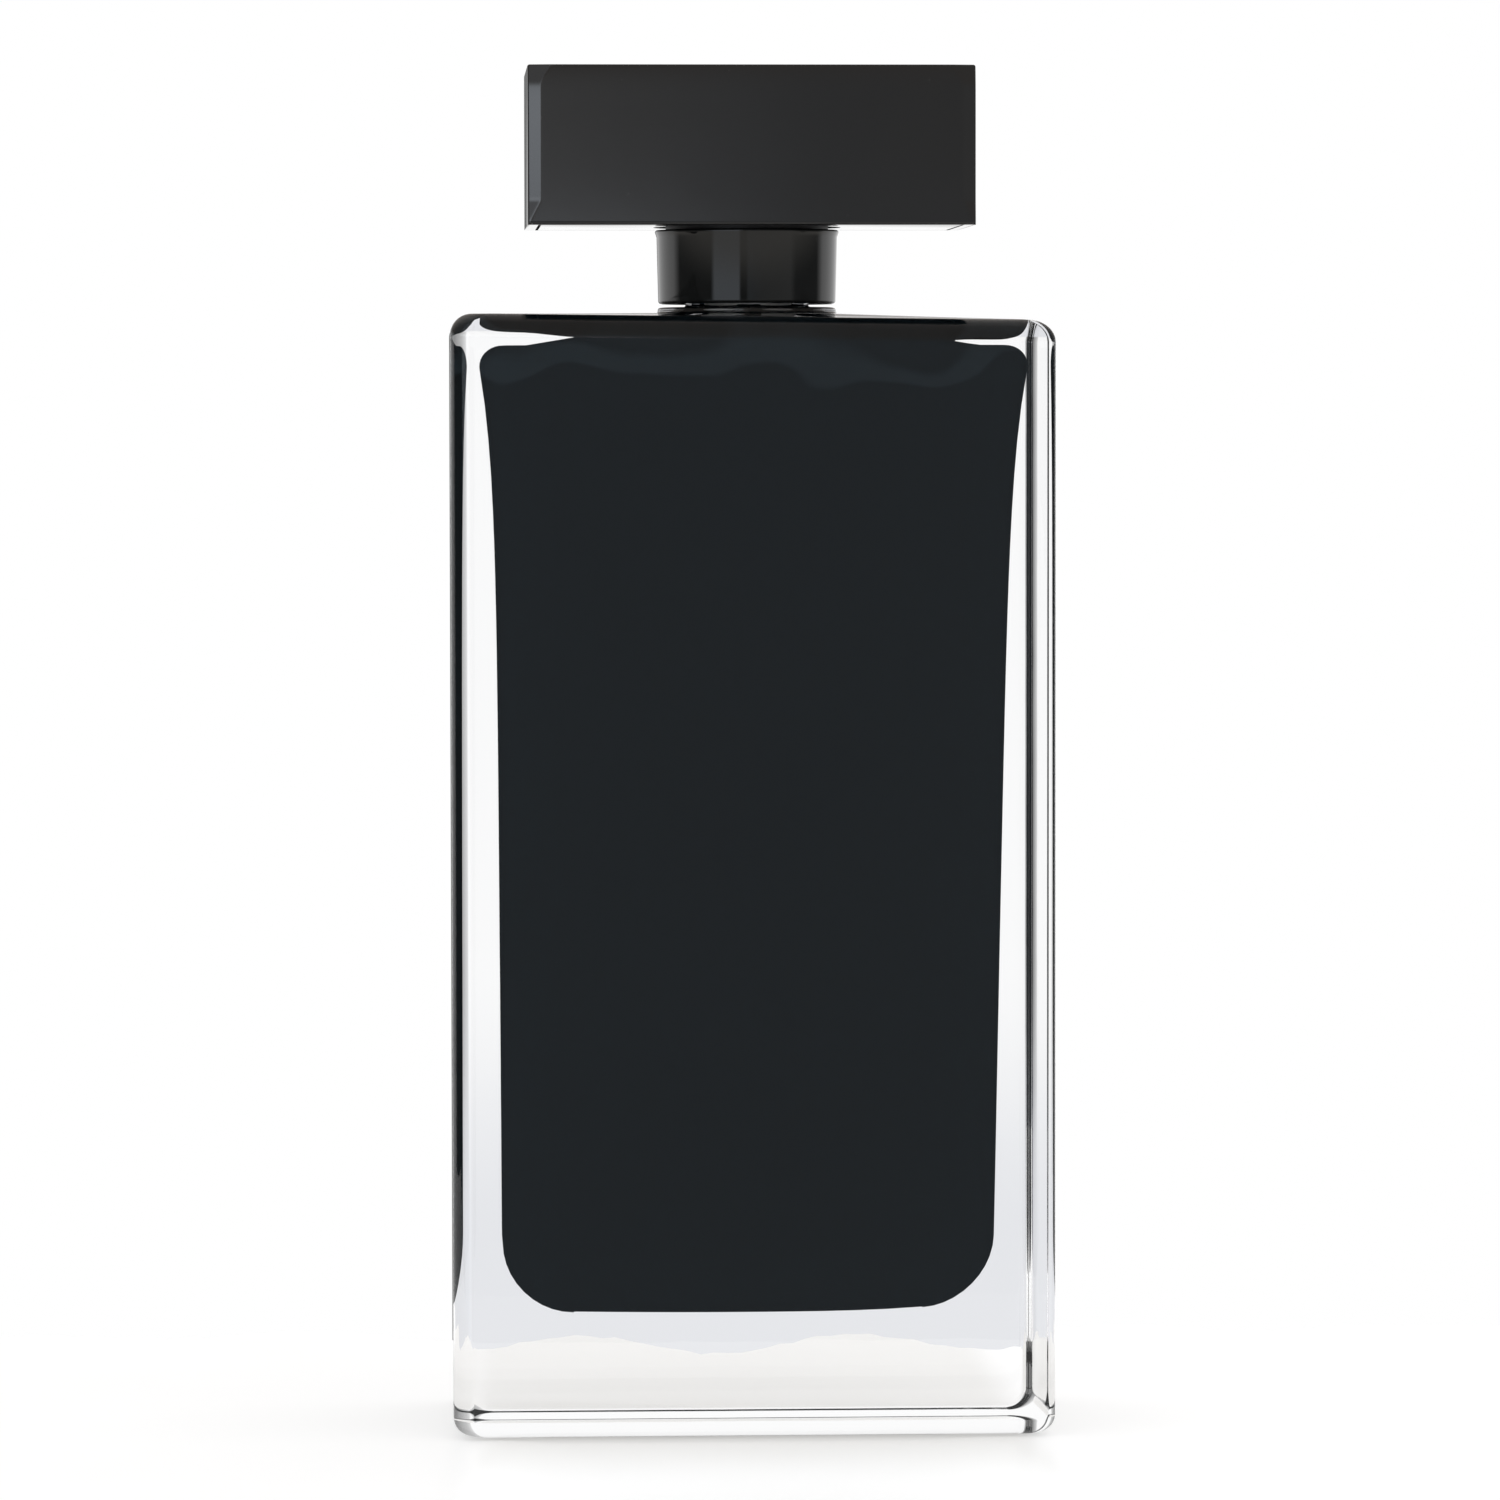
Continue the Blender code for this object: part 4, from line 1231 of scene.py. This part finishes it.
def stage_camera(scene, sizes):
    """The camera in front of the bottle, a little above its middle and looking slightly down."""
    camera = bpy.data.objects.new("camera", bpy.data.cameras.new("camera"))
    scene.collection.objects.link(camera)
    scene.camera = camera
    camera.data.sensor_width = 36.0
    camera.data.lens = sizes.lens
    camera.data.clip_start, camera.data.clip_end = 0.05, 30.0
    back = Vector((math.sin(sizes.azimuth), -math.cos(sizes.azimuth), 0.0))
    right = Vector((math.cos(sizes.azimuth), math.sin(sizes.azimuth), 0.0))
    camera.location = back * sizes.distance + right * sizes.side_step + Vector((0.0, 0.0, sizes.height))
    camera.rotation_mode = "XYZ"
    camera.rotation_euler = (math.pi / 2 - sizes.pitch, 0.0, sizes.azimuth)
    camera.rotation_euler = (
        camera.rotation_euler.to_matrix() @ Matrix.Rotation(sizes.roll, 3, "Z")
    ).to_euler()


class BOTTLE_OT_stage(bpy.types.Operator):
    """Set up the pale floor, the soft studio light and the camera"""

    bl_idname = "bottle.stage"
    bl_label = "Stage"

    def execute(self, context):
        scene = context.scene
        studio_world(scene)
        stage_floor()
        stage_camera(scene, scene.bottle_stage)
        scene.view_settings.view_transform = "Standard"
        return {"FINISHED"}


class BOTTLE_PT_panel(bpy.types.Panel):
    """Lists the bottle's pieces"""

    bl_label = "Bottle"
    bl_idname = "BOTTLE_PT_panel"
    bl_space_type = "VIEW_3D"
    bl_region_type = "UI"
    bl_category = "Bottle"

    def draw(self, context):
        for operator in OPERATORS:
            self.layout.operator(operator.bl_idname)


OPERATORS = (
    BOTTLE_OT_glass, BOTTLE_OT_coat, BOTTLE_OT_collar, BOTTLE_OT_cap, BOTTLE_OT_button, BOTTLE_OT_pump,
    BOTTLE_OT_stage,
)
SETTINGS = {
    "bottle_look": LookSettings,
    "bottle_glass": GlassSettings,
    "bottle_cap": CapSettings,
    "bottle_button": ButtonSettings,
    "bottle_stage": StageSettings,
}


def register():
    """Adds the settings, the operators and the panel."""
    for kind in (*SETTINGS.values(), *OPERATORS, BOTTLE_PT_panel):
        bpy.utils.register_class(kind)
    for name, kind in SETTINGS.items():
        setattr(bpy.types.Scene, name, PointerProperty(type=kind))


def unregister():
    """Takes them away again."""
    for name in SETTINGS:
        delattr(bpy.types.Scene, name)
    for kind in (*SETTINGS.values(), *OPERATORS, BOTTLE_PT_panel):
        bpy.utils.unregister_class(kind)


def main():
    """Builds every piece in order."""
    register()
    for operator in OPERATORS:
        group, name = operator.bl_idname.split(".")
        getattr(getattr(bpy.ops, group), name)()


if __name__ == "__main__":
    main()
